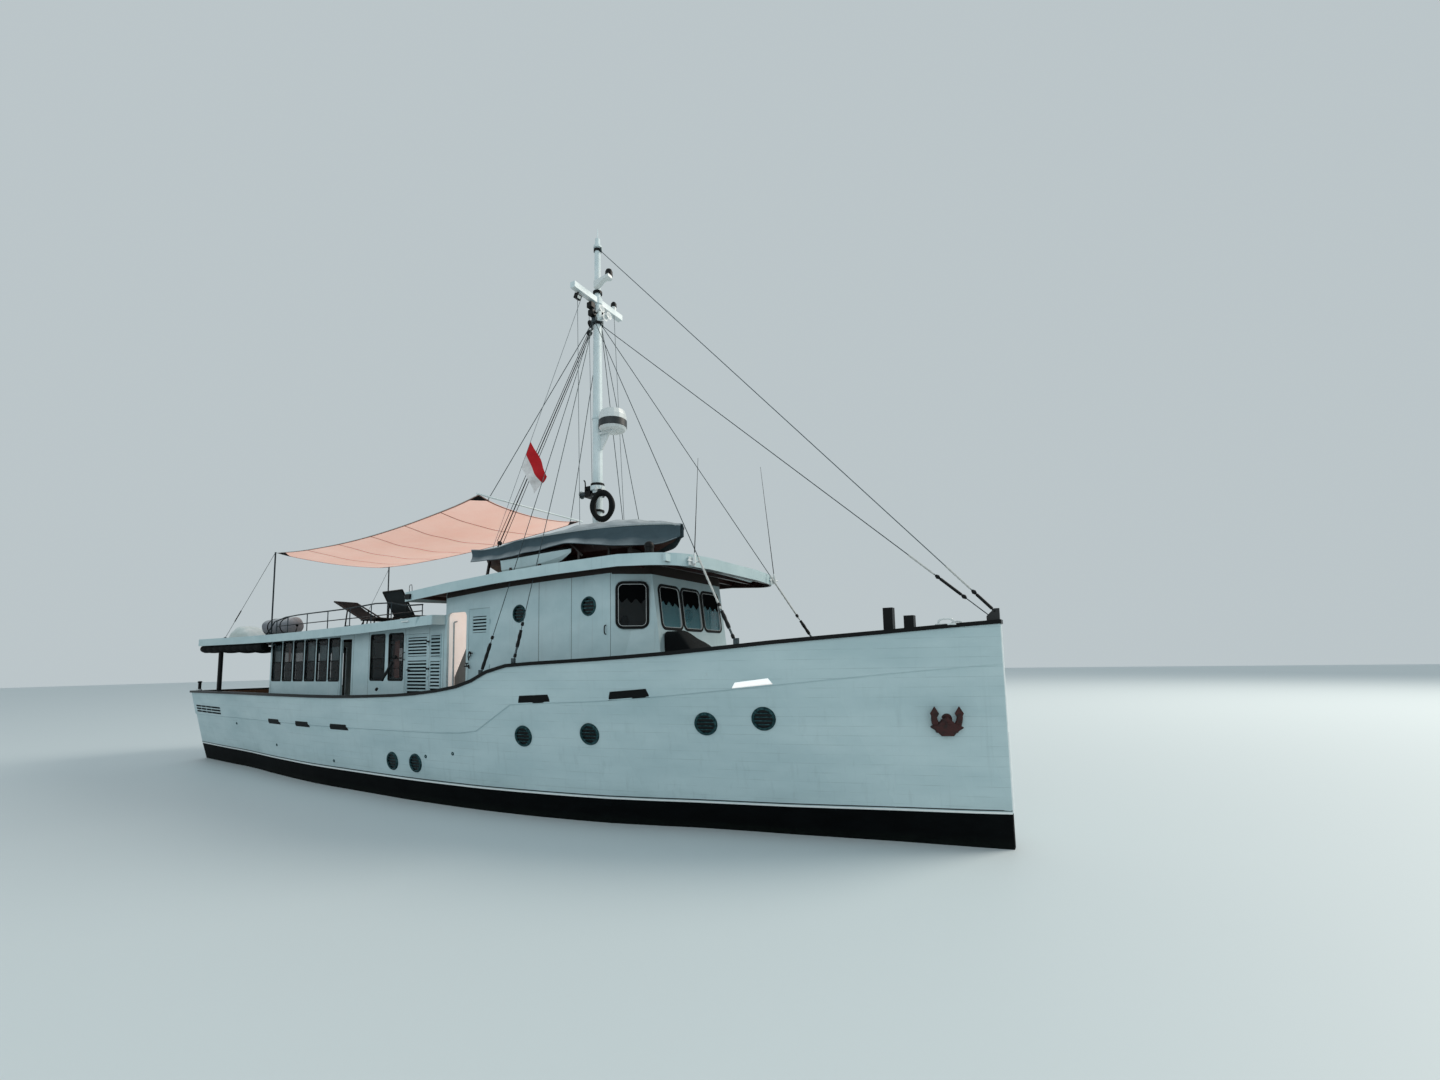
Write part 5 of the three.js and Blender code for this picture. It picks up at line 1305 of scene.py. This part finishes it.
# Running rigging beside the mast: halyards made fast at the foot
halyardLines = [
    ((mastX - 0.30, 0.05, 10.70), (mastX - 0.16, 0.04, 5.1)),
    ((mastX - 0.12, -0.52, 10.70), (mastX - 0.22, -0.30, 4.62)),
    ((mastX + 0.02, 0.55, 10.70), (mastX + 0.30, 0.62, 4.62)),
]
makePiece("mast_halyards", [rod(a, b, 0.006, 6) for a, b in halyardLines], "rope")
print("yacht: mast pieces made")

# Stays, each as its foot at the rail and the span of its dark sleeve; the foremost is parcelled in white
stays = {
    "head": (3.24, -0.115, 10.3),
    "feet": [((7.50, -1.70, 2.95), 0.30, 0.62), ((3.35, -2.37, 2.72), 0.30, 0.62),
             ((2.51, -2.40, 2.52), 0.10, 0.60), ((-0.85, -2.455, 2.105), 0.35, 0.80)],
    "eye": [(0, -0.04), (0.026, -0.03), (0.030, 0), (0.026, 0.03), (0, 0.04)],
    "forestays": [((3.30, 0, 12.0), (10.93, 0, 3.33), 0.09, 0.39),
                  ((3.30, 0, 10.24), (10.835, 0, 3.29), 0.51, 0.90)],
    "forestayEye": [(0, -0.05), (0.018, -0.04), (0.034, 0), (0.018, 0.04), (0, 0.05)],
}


# A served length of wire from low to high above its foot: r = radius * (1 + depth * sin(pitch * t))
def served(foot, along, low, high, count, radius, sides, depth, pitch, up=(1, 0, 0)):
    t = steps(low, high, count)
    return carry(circle(radius, sides), foot + along * t[:, None], up, scale=1 + depth * np.sin(t * pitch))


def stayParts():
    sleeves, parcelling, eyes = [], [], []
    for foot, low, high in stays["feet"]:
        foot = vec(*foot)
        along = unit(vec(*stays["head"]) - foot)
        sleeves.append(served(foot, along, low, high, 14, 0.030, 10, 0.10, 40))
        eyes += [lathe(stays["eye"], foot + along * s, along, 12) for s in (0.14, high + 0.12)]
        parcelling.append(served(foot, along, 0.66, 1.72, 60, 0.017, 10, 0.12, 55))
    return sleeves, parcelling[:1], eyes


sleeves, parcelling, stayEyes = stayParts()
pair("stay_sleeves", sleeves, "wireSleeve")
pair("stay_parcelling", parcelling, "whiteRope")
pair("stay_eyes", stayEyes, "black")


def forestayParts():
    screws, wraps = [], []
    for top, foot, low, high in stays["forestays"]:
        foot = vec(*foot)
        along = unit(vec(*top) - foot)
        screws.append(rod(foot + along * low, foot + along * high, 0.024, 10))
        for s in (low - 0.05, high + 0.05):
            screws.append(lathe(stays["forestayEye"], foot + along * s, along, 12))
        wraps.append(served(foot, along, high + 0.12, high + 0.62, 30, 0.014, 8, 0.14, 70, (0, 1, 0)))
    return screws, wraps


stemScrews, stemWraps = forestayParts()
makePiece("forestay_screws", stemScrews, "wireSleeve")
makePiece("forestay_servings", stemWraps, "whiteRope")

# Lifting tackle: four falls between two blocks, and its hook
tackle = {"top": (3.08, -0.03, 10.17), "foot": (1.12, -0.90, 5.27), "spread": 0.046, "fall": 0.0075,
          "tail": (1.11, -0.90, 5.17), "strop": (3.15, -0.02, 10.17),
          "corners": [(-1, -1), (1, -1), (1, 1), (-1, 1)]}


def tackleParts():
    top, foot = vec(*tackle["top"]), vec(*tackle["foot"])
    along = unit(top - foot)
    side = unit(np.cross(along, (0, 1, 0)))
    other = np.cross(along, side)
    falls, blocks = [], []
    for a, b in tackle["corners"]:
        offset = (a * side + b * other) * tackle["spread"]
        falls.append(rod(foot + along * 0.14 + offset, top - along * 0.10 + offset * 0.45, tackle["fall"], 6))
    for s, r in ((0.12, 0.046), (np.linalg.norm(top - foot) - 0.10, 0.062)):
        centre, cheek = foot + along * s, [(0, -0.008), (r, -0.008), (r * 0.94, 0), (r, 0.008), (0, 0.008)]
        blocks += [lathe(cheek, centre + other * lift, other, 18) for lift in (-0.022, 0.0, 0.022)]
        blocks.append(rod(centre - along * (r + 0.05), centre + along * (r + 0.05), 0.013))
    hook = [foot + along * 0.02, foot - along * 0.08, foot - along * 0.14 + side * 0.03,
            foot - along * 0.10 + side * 0.06]
    tail = [foot + along * 0.10, foot + side * 0.03 - along * 0.02, vec(*tackle["tail"])]
    falls.append(bentRod(tail, 0.006, 6, 12))
    return falls, blocks + [bentRod(hook, 0.010, 8, 16), rod(top - along * 0.05, tackle["strop"], 0.014)]


tackleFalls, tackleBlocks = tackleParts()
makePiece("tackle_falls", tackleFalls, "wireSleeve", "rope", replaces=["lifting_tackle"])
makePiece("tackle_blocks", tackleBlocks, "black")

# Flag on the signal halyard, hoisted between two shares of its length
flag = {"top": (3.20, -0.45, 10.72), "foot": (1.08, -1.05, 5.12), "from": 0.335, "to": 0.435, "fly": 0.85,
        "out": (0.34, 0.21, -0.80)}


# Hoist on the halyard, the fly hanging down in soft folds: each row runs out and down, waving as it goes
def flagSheet():
    top, foot = vec(*flag["top"]), vec(*flag["foot"])
    low, high = foot + (top - foot) * flag["from"], foot + (top - foot) * flag["to"]
    v, u = steps(0, 1, 24)[:, None], steps(0, 1, 36)[None]
    hoist = high[None, None] * (1 - v[..., None]) + low[None, None] * v[..., None]
    out = unit(flag["out"])
    reach = flag["fly"] * (1 - 0.25 * v)
    wave = 0.065 * np.sin(u * 3.0 * np.pi + v * 3.0) * u ** 0.8
    lift = 0.05 * np.sin(v * 6 + u * 4) * u
    aside = unit(np.cross(out, top - foot))
    points = hoist + (u * reach)[..., None] * out + wave[..., None] * aside
    points = points + lift[..., None] * unit(top - foot)
    thick = aside * 0.0015
    drop = np.concatenate([1 - v + 0 * u, (1 - v + 0 * u)[:, ::-1]], 1)
    drop = np.concatenate([drop[:1], drop, drop[-1:]])
    return [thinSheet(points + thick, points - thick)], drop.reshape(-1)


flagParts, flagDrop = flagSheet()
flagPiece = makePiece("ensign", flagParts, "bunting", replaces=["flag"], smooth=80, drop=flagDrop)
print("yacht: rigging pieces made")


# Two grids of parameters: one from 0 to 1 down the rows, one from low to 1 along the columns
def gridOf(rows, columns, low=0):
    return np.meshgrid(steps(0, 1, rows), steps(low, 1, columns), indexing="ij")


# Awning: one sheet between four corners, hollowed along its edges, sagging across
awning = {"aft": -7.26, "fore": 1.27, "aftHalf": 1.66, "foreHalf": 1.55, "aftZ": 5.96, "foreZ": 6.30,
          "hollow": 0.16, "dip": 0.17, "sag": 0.13, "rows": 81, "columns": 33, "seams": 5, "patch": 0.045}


# Edge hollow and dip as parabolas along the length, sag as a parabola across, pulls towards the corners
def awningPoint(t, u):
    a = awning
    t, u = np.broadcast_arrays(t, u)
    bow = 4 * t * (1 - t)
    x = a["aft"] + (a["fore"] - a["aft"]) * t
    x = x + 0.10 * (1 - u ** 2) * np.where(t < 0.5, (1 - 2 * t) ** 6, -(2 * t - 1) ** 6)
    half = a["aftHalf"] + (a["foreHalf"] - a["aftHalf"]) * t - a["hollow"] * bow
    edge = a["aftZ"] + (a["foreZ"] - a["aftZ"]) * t - a["dip"] * bow
    corner = np.abs(u) ** 3 * (1 - bow) ** 2
    ripple = 0.012 * np.sin((t * 26 + np.abs(u) * 7)) * corner + 0.010 * np.sin(u * 9 + t * 5) * bow
    return np.stack([x, u * half, edge - a["sag"] * (1 - u ** 2) + ripple], -1)


def awningSheet():
    top = awningPoint(*gridOf(awning["rows"], awning["columns"], -1)) + vec(0, 0, 0.004)
    return [thinSheet(top, top - vec(0, 0, 0.004))]


awningPiece = makePiece("sun_awning", awningSheet(), "awning", replaces=["awning"], smooth=80)


# Flat-felled seams across the cloth, webbing on its edges, doubled patches on the corners
def awningHems():
    u, t, webbing = steps(-1, 1, awning["columns"]), steps(0, 1, awning["rows"]), band(0.05, 0.011, -0.003)
    count, size = awning["seams"] + 1, awning["patch"]
    strips = [carry(band(0.035, 0.010, -0.003), awningPoint(k / count, u)) for k in range(1, count)]
    strips += [carry(webbing, awningPoint(t, side * 0.985)) for side in (-1, 1)]
    strips += [carry(webbing, awningPoint(abs(end - 0.004), u)) for end in (0.0, 1.0)]
    ropes = [carry(circle(0.007, 8), awningPoint(t, side * 1.0)) for side in (-1, 1)]
    patches = []
    for end in (0, 1):
        for side in (-1, 1):
            along = steps(0, size, 6)[:, None]
            across = side * (1 - steps(0, 1, 6)[None] * (1 - along / size) * 0.20)
            top = awningPoint(1 - along if end else along, across) + vec(0, 0, 0.0075)
            patches.append(thinSheet(top, top - vec(0, 0, 0.012)))
    return strips, ropes, patches


hemStrips, hemRopes, cornerPatches = awningHems()
hemPiece = makePiece("awning_seams", hemStrips, "awningSeam", smooth=80)
ropePiece = makePiece("awning_edge_ropes", hemRopes, "whiteRope")
patchPiece = makePiece("awning_corner_patches", cornerPatches, "darkCanvas")

# The spar that spreads the fore edge, its lashings, and the guys from the pole heads to the boat deck
awningRig = {
    "spar": ((1.30, -1.62, 6.315), (1.30, 1.62, 6.315)),
    "lashings": [((-7.26, 1.66, 5.97), (-7.29, 1.685, 5.965)), ((1.27, 1.55, 6.305), (1.30, 1.57, 6.315))],
    "guy": ((-7.29, -1.70, 5.95), (-9.62, -1.90, 3.64)),
    "foot": [(0, -0.03), (0.04, -0.03), (0.04, 0.0), (0.015, 0.02), (0, 0.02)],
}


def awningLines():
    lines, screws = [], []
    for side in (-1, 1):
        flip = vec(1, side, 1)
        lines += [rod(a * flip, b * flip, 0.008, 6) for a, b in np.array(awningRig["lashings"])]
    for side in (-1, 1):
        a, b = np.array(awningRig["guy"]) * vec(1, -side, 1)
        lines.append(rod(a, b, 0.006, 6))
        screws.append(rod(b + (a - b) * 0.20, b + (a - b) * 0.33, 0.014))
        screws.append(lathe(awningRig["foot"], b, sides=14))
    return lines, screws


awningGuys, guyScrews = awningLines()
makePiece("awning_spar", [rod(*awningRig["spar"], 0.02, 12)], "spar")
makePiece("awning_guys", awningGuys, "galvanised")
makePiece("awning_guy_screws", guyScrews, "black")
print("yacht: awning made")


# Boats on the wheelhouse roof: fitted cover with its folds, the dinghy's rubbing band and the gear between
tender = {
    "y": -0.86, "aft": 1.0, "fore": 5.99, "half": 0.735, "shoulder": 5.165,
    "topAt": [1.0, 1.45, 1.95, 2.55, 3.15, 3.9, 4.45, 5.2, 5.7, 5.99],
    "top": [5.19, 5.13, 5.13, 5.21, 5.31, 5.38, 5.395, 5.33, 5.24, 5.15],
    "hemAt": [1.0, 1.7, 2.2, 2.7, 3.2, 3.75, 4.2, 4.8, 5.2, 5.7, 5.99],
    "hem": [4.89, 4.86, 4.85, 4.88, 4.90, 4.97, 4.91, 4.82, 4.79, 4.79, 4.96],
}


# Ridge, shoulder and hem of the cover at x: smooth lines through the listed heights
def coverLines(x):
    fine = steps(tender["aft"], tender["fore"], 120)
    window = np.hanning(13) / np.hanning(13).sum()

    def smoothed(at, values):
        line = np.interp(fine, at, values)
        line = np.convolve(np.concatenate([np.full(6, line[0]), line, np.full(6, line[-1])]), window, "valid")
        return np.interp(x, fine, line)

    top, hem = smoothed(tender["topAt"], tender["top"]), smoothed(tender["hemAt"], tender["hem"])
    return top, np.minimum(tender["shoulder"], top - 0.03), hem


# From the ridge the cloth falls in a slack curve to the gunwale, then hangs hollow to its hem:
# s runs from 0 on the ridge to 1 at the hem, the gunwale at 0.6
def coverPoint(t, s, side):
    t, s = np.broadcast_arrays(t, s)
    x = tender["aft"] + (tender["fore"] - tender["aft"]) * t
    b = tender["half"] * np.maximum(0.08, 1 - t ** 6) * (0.88 + 0.12 * np.minimum(1, t * 3))
    top, shoulder, hem = coverLines(x)
    over, down = np.minimum(s / 0.6, 1), np.maximum((s - 0.6) / 0.4, 0)
    arch = np.sin(np.pi * over)
    slack = 0.014 * np.sin(t * 33 + 3 * s) * arch + 0.010 * np.sin(t * 71 - 4 * s) * arch ** 2
    z = top - (top - shoulder) * over ** 2.9 + slack * (s < 0.6) - (shoulder - hem) * down
    hollow = -0.045 * np.sin(np.pi * down) + 0.012 * np.sin(t * 52 + 2 * down) * down
    hollow = hollow + 0.008 * np.sin(t * 23) * down
    y = tender["y"] + side * (b * (over ** 0.92) + hollow * (1 - t ** 8))
    return np.stack([x, y, z], -1)


def linedSheet(outer, thickness):  # a sheet with its back drawn towards the middle of each row
    return [thinSheet(outer, outer + unit(outer.mean(1, keepdims=True) - outer) * thickness)]


def coverSheet():
    t, s = gridOf(130, 25)
    return linedSheet(np.concatenate([coverPoint(t, s, -1)[:, ::-1], coverPoint(t, s, 1)[:, 1:]], 1), 0.006)


coverPiece = makePiece("tender_canvas", coverSheet(), "coverCanvas", replaces=["tender_cover"], smooth=70)


# A rope in the hem, a rope along the gunwale and a ridge seam
def coverTies():
    t = steps(0.005, 0.985, 100)
    seams, ropes = [carry(band(0.03, 0.007), coverPoint(t, 0, 1))], []
    for side in (-1, 1):
        seams.append(carry(circle(0.010, 8), coverPoint(t, 0.99, side)))
        ropes.append(carry(circle(0.009, 8), coverPoint(t, 0.605, side) + vec(0, side * 0.006, 0)))
    return seams, ropes


coverSeams, coverRopes = coverTies()
seamPiece = makePiece("tender_canvas_seams", coverSeams, "coverCanvas")
makePiece("tender_gunwale_line", coverRopes, "leadLine", "rope")

dinghy = {"aft": 2.03, "fore": 3.82, "y": -1.44, "half": 0.150, "gunwale": 4.84}


def dinghyBand():  # one rubbing band on each side, at the gunwale
    d, t = dinghy, steps(0.0, 0.985, 60)
    x = d["aft"] + (d["fore"] - d["aft"]) * t
    b = d["half"] * np.maximum(0.06, 1 - t ** 3.2) * (0.86 + 0.14 * np.minimum(1, t * 3)) + 0.004
    z = d["gunwale"] + 0.06 * t * t - 0.012
    return [carry(circle(0.020), np.stack([x, d["y"] + side * b, z], 1)) for side in (-1, 1)]


makePiece("dinghy_rubbing_band", dinghyBand(), "rubber")

# Timber posts and struts that stand on the roof beside the boats and prop the cover: ends and half width
roofGear = {
    "red": [((3.53, -1.30, 4.44), (3.53, -1.30, 4.99), 0.035),
            ((3.46, -1.30, 4.75), (3.78, -1.30, 4.93), 0.022)],
    "dark": [((3.73, -1.36, 5.02), (4.07, -1.36, 4.72), 0.020),
             ((3.98, -1.36, 4.46), (3.98, -1.36, 4.80), 0.026),
             ((1.24, -1.30, 4.41), (1.24, -1.20, 4.93), 0.024),
             ((1.24, -1.27, 4.63), (1.52, -1.27, 4.55), 0.020),
             ((4.60, -1.22, 4.48), (4.60, -1.22, 4.84), 0.024),
             ((5.05, -1.16, 4.49), (5.05, -1.16, 4.82), 0.024)],
}
for tone, finish in (("red", "darkRed"), ("dark", "darkTimber")):
    props = [carry(band(2 * r, 2 * r, -r), (a, b), up=(0, 1, 0)) for a, b, r in roofGear[tone]]
    makePiece("boat_props_" + tone, props, finish, bevel=0.004)
print("yacht: boats made")


# Boat deck: deck chairs, the covered canister and the canvas hood
def deckTopZ(x):
    return np.interp(x, [-11, -8, -6, -4, -2, -0.2], [3.650, 3.633, 3.639, 3.665, 3.705, 3.761])


deckChairs = {
    "aft": {"at": (-2.98, -1.25), "turn": 0, "half": 0.29, "back": (1.34, 0.54), "seat": 0.60,
            "flat": (2.12, 0.51), "cloth": "darkCanvas"},
    "fore": {"at": (-1.72, -1.24), "turn": 90, "half": 0.38, "back": (0.33, 0.59), "seat": 0.60,
             "flat": (1.38, 0.69), "cloth": "slingCanvas"},
}
chairRail, chairLow = 0.021, 0.165
propHead, propFoot, inboard = 0.55, 0.62, 0.94  # shares of the back's run, and of the half width


# A bed frame on legs with a tilted back frame and a prop, head towards -x, then turned about its middle:
# place = at + turn * (x, y), heights above the deck
def chairParts(spec):
    (run, rise), half, seat = spec["back"], spec["half"], spec["seat"]
    turn = aroundAxis((0, 0, 1), spec["turn"])
    foot = vec(*spec["at"], float(deckTopZ(spec["at"][0])))
    line = vec((seat, chairLow + 0.02), (0, chairLow), (-run, chairLow + rise))
    bars = []
    for y in (-half, half):
        bars.append(rod((-0.06, y, chairLow), (seat, y, chairLow + 0.02), chairRail))
        bars.append(rod((0, y, chairLow), (-run, y, chairLow + rise), chairRail))
        prop = (-propHead * run, y * inboard, chairLow + propHead * rise)
        bars.append(rod(prop, (-propFoot * run, y * inboard, 0.0), chairRail * 0.8))
        for x in (seat - 0.10, 0.02):
            bars.append(rod((x, y * 0.96, chairLow), (x - 0.04, y * 0.96, 0.0), chairRail * 0.85))
    bars += [rod((x, -half, z), (x, half, z), chairRail * 0.9) for x, z in line]
    ends = [(-propFoot * run, y * inboard, 0.06) for y in (-half, half)]
    bars.append(rod(*ends, chairRail * 0.6))
    t = steps(0, 2, 60)
    x, z = [np.interp(t, [0, 1, 2], line[:, k]) for k in (0, 1)]
    z = z - 0.05 * np.abs(np.sin(np.pi * t)) + 0.012
    sling = carry(band(2 * half - 0.07, 0.006), np.stack([x, np.zeros(60), z], 1))
    placed = [(points @ turn.T + foot, faces) for points, faces in bars + [sling]]
    return placed[:-1], placed[-1:]


for name, spec in deckChairs.items():
    chairBars, chairSling = chairParts(spec)
    makePiece("deck_chair_" + name, chairBars, "black", "teak", replaces=["lounger_" + name])
    slingPiece = makePiece("deck_chair_sling_" + name, chairSling, spec["cloth"], "canvas_dark", smooth=60)

canister = {"aft": -8.35, "fore": -6.70, "y": -1.30, "z": 3.90, "radius": 0.235, "gap": 0.10,
            "straps": (0.28, 0.72), "strapRadius": 0.235 * 0.965, "cradle": (-7.95, -7.10),
            "cradleY": (-1.50, -1.10), "cradleZ": (3.62, 3.69)}


def roundCanister(t, r, a):  # points on rings of radius r at the share t of its length
    c = canister
    x = c["aft"] + (c["fore"] - c["aft"]) * t + 0 * a
    return np.stack([x, c["y"] + r * np.cos(a), c["z"] + r * np.sin(a)], -1)


# Covered canister: cloth wrapped round a barrel and left open along the cradle, puckered at the ends
def canisterParts():
    c, b = canister, np.arange(48) / 48 * tau
    t, a = steps(0, 1, 70)[:, None], steps(-np.pi / 2 + c["gap"], 1.5 * np.pi - c["gap"], 56)[None]
    ends = np.clip(np.minimum(t, 1 - t) / 0.07, 0.02, 1) ** 0.45
    straps = sum(np.exp(-((t - s) / 0.025) ** 2) for s in c["straps"])
    wrinkle = 0.014 * np.sin(5 * a + 9 * t) + 0.012 * np.sin(26 * t + 2 * a) + 0.02 * np.sin(3 * a + 4 * t)
    r = c["radius"] * ends * (1 - 0.05 * straps + wrinkle * (1 - straps))
    cloth = thinSheet(roundCanister(t, r, a), roundCanister(t, np.maximum(r - 0.004, 0.001), a))
    rings = [roundCanister(s, c["strapRadius"], b) for s in c["straps"]]
    bands = [carry(band(0.04, 0.008, -0.002), ring, up=(1, 0, 0), closed=True) for ring in rings]
    return [cloth], bands, [slab((x - 0.04, x + 0.04), c["cradleY"], c["cradleZ"]) for x in c["cradle"]]


canisterCloth, canisterBands, canisterCradle = canisterParts()
canisterPiece = makePiece("canister_cover", canisterCloth, "canisterCanvas", smooth=80,
                          replaces=["raft_canister"])
makePiece("canister_straps", canisterBands, "rubber")
makePiece("canister_cradle", canisterCradle, "darkTimber", "teak", bevel=0.004)

hood = {"aft": -9.95, "fore": -8.50, "y": (-1.70, -1.08), "foot": 3.625,
        "height": ([0, 0.08, 0.25, 0.45, 0.75, 1.0], [0.03, 0.26, 0.37, 0.36, 0.22, 0.03])}


# A canvas hood over a hatch: rises steeply aft, slopes away forward, with rounded shoulders
def hoodSheet():
    t, across = gridOf(40, 41, -1)
    a = across * np.pi / 2
    middle, half = (hood["y"][0] + hood["y"][1]) / 2, (hood["y"][1] - hood["y"][0]) / 2
    x = hood["aft"] + (hood["fore"] - hood["aft"]) * t
    y = middle + half * np.sign(np.sin(a)) * np.abs(np.sin(a)) ** 0.6 * (1 + 0.02 * np.sin(t * 30))
    z = hood["foot"] + np.interp(t, *hood["height"]) * np.maximum(np.cos(a), 0) ** 0.55
    return linedSheet(np.stack([x, y, z], -1), 0.004)


hoodPiece = makePiece("hatch_hood", hoodSheet(), "whiteCanvas", smooth=60)
print("yacht: boat deck pieces made")

# Foredeck cover: canvas drawn over the locker, from the wheelhouse sills down to the deck
foreCover = {"sill": 5.98, "fore": 6.79, "half": 1.045, "high": 3.25, "foot": 2.15, "rows": 44, "columns": 81}


# High at starboard, its top sinks to port in a hollow line; front and sides fall to the deck
def foreCoverSheet():
    f = foreCover
    v, across = gridOf(f["rows"], f["columns"], -1)
    u, side = np.clip(across / 0.72, -1, 1), np.clip((np.abs(across) - 0.72) / 0.28, 0, 1)
    top = f["high"] - 0.55 * np.clip((u + 0.85) / 1.6, 0, 1) ** 1.3
    shelf, fall = np.clip(v / 0.3, 0, 1), np.clip((v - 0.3) / 0.7, 0, 1)
    start = 5.60 + 0.12 * (4.24 - top)
    x = start + (f["sill"] - start) * shelf + (f["fore"] - f["sill"]) * fall ** 0.95
    top = top - 0.04 * np.clip((np.abs(u) - 0.9) / 0.1, 0, 1) ** 2
    z = top - (top - f["foot"]) * fall ** 1.18 - 0.05 * np.sin(np.pi * fall)
    z = z + 0.012 * np.sin(u * 24 + fall * 3) * fall + 0.010 * np.sin(u * 9 + 5 * v)
    z = np.maximum(z, f["foot"] + 0.002)
    z = z - (z - f["foot"]) * side
    y = u * f["half"] + np.sign(u) * side * 0.03 * (1 + 0.5 * np.sin(v * 22))
    outer, flat = np.stack([x, y, z], -1), 0 * y
    inner = outer + vec(-0.005, 0, -0.004) - np.stack([flat, np.sign(u) * 0.005 * side, flat], -1)
    return [thinSheet(outer, inner)]


foreCoverPiece = makePiece("foredeck_canvas", foreCoverSheet(), "darkCanvas", smooth=70,
                           replaces=["deck_locker"])
print("yacht: foredeck pieces made")

# Finishes on the CAD pieces that stay; a trailing * stands for the starboard and the port one
cadFinish = {
    "enamel": "hull_topsides", "antifouling": "hull_bottom keel rudder", "bronze": "propeller",
    "rail": "rail_cap aft_post_*", "wheelRoof": "wheelhouse_roof", "deckRoof": "deckhouse_roof",
    "innerWhite": "lobby", "darkRed": "tender", "darkTimber": "boat_chocks",
    "house": "deckhouse_side_* deckhouse_aft wheelhouse_side_* wheelhouse_front saloon_door_* dinghy",
    "door": "vent_door_* wheelhouse_door_*",
    "teak": "lobby_steps helm_console helm_wheel stern_bench fore_hatch_lid",
    "galvanised": "windlass shrouds_* forestay_lower", "stemFitting": "forestay_upper", "black": "fore_bitts",
    "stainless": "awning_pole_* roof_rail_*", "spar": "mast topmast crosstree", "radome": "radar",
    "rope": "signal_halyard",
}
for finish, names in cadFinish.items():
    for name in names.split():
        for side in ("starboard", "port") if "*" in name else ("",):
            slots = cadNodes[name.replace("*", side)].data.materials
            slots.clear()
            slots.append(finishes[finish])
print("yacht: packed nodes finished")

# Stage: pale floor at the waterline, soft studio light, and the camera at the photograph's viewpoint
studio = {
    "floor": "#cdd7da", "reach": 160, "world": "#cfdade", "worldStrength": 0.80,
    "areas": [  # name, place, target, size, power, colour
        ("key", (44, 38, 46), (2, 0, 3), 34, 30000, "#fff6ea"),
        ("fill", (14, -46, 22), (0, 0, 3), 34, 3000, "#e4f0f6"),
    ],
}
view = {"place": (11.957, -9.926, 2.688), "yaw": 31.89, "pitch": 5.77, "roll": -0.96, "focal": 613.0,
        "photoWidth": 1440, "sensor": 36.0, "shift": (0.0149, 0.0417)}

floorMesh = bpy.data.meshes.new("studio_floor")
reach = studio["reach"]
floorCorners = [(-reach, -reach, 0), (reach, -reach, 0), (reach, reach, 0), (-reach, reach, 0)]
floorMesh.from_pydata(floorCorners, [], [(0, 1, 2, 3)])
floorMesh.materials.append(Finish("studio_floor").done(studio["floor"], 0.55))
floorPlane = bpy.data.objects.new("studio_floor", floorMesh)
collection.objects.link(floorPlane)

world = bpy.data.worlds.new("studio")
world.use_nodes = True
background = world.node_tree.nodes["Background"]
background.inputs[0].default_value = toLinear(studio["world"])
background.inputs[1].default_value = studio["worldStrength"]
bpy.context.scene.world = world
for name, place, target, size, power, colour in studio["areas"]:
    lamp = bpy.data.lights.new(name, "AREA")
    lamp.shape, lamp.size, lamp.energy, lamp.color = "DISK", size, power, toLinear(colour)[:3]
    lampObject = bpy.data.objects.new(name, lamp)
    lampObject.location = place
    lampObject.rotation_euler = (Vector(target) - Vector(place)).to_track_quat("-Z", "Y").to_euler()
    collection.objects.link(lampObject)


# Right, up and back columns of a camera that looks along +Y turned by yaw, raised by pitch, rolled
def cameraTurn(yaw, pitch, roll):
    y, p, r = np.radians([yaw, pitch, roll])
    ahead, right, up = vec(-np.sin(y), np.cos(y), 0), vec(np.cos(y), np.sin(y), 0), vec(0, 0, 1)
    forward, lift = ahead * np.cos(p) + up * np.sin(p), up * np.cos(p) - ahead * np.sin(p)
    columns = [right * np.cos(r) + lift * np.sin(r), lift * np.cos(r) - right * np.sin(r), -forward]
    return Matrix(np.column_stack(columns).tolist()).to_4x4()


bpy.context.scene.view_settings.view_transform = "Standard"
cameraData = bpy.data.cameras.new("camera")
cameraData.sensor_width = view["sensor"]
cameraData.lens = view["focal"] / view["photoWidth"] * view["sensor"]
cameraData.shift_x, cameraData.shift_y = view["shift"]
cameraData.clip_end = 500
camera = bpy.data.objects.new("camera", cameraData)
camera.matrix_world = Matrix.Translation(view["place"]) @ cameraTurn(view["yaw"], view["pitch"], view["roll"])
collection.objects.link(camera)
bpy.context.scene.camera = camera
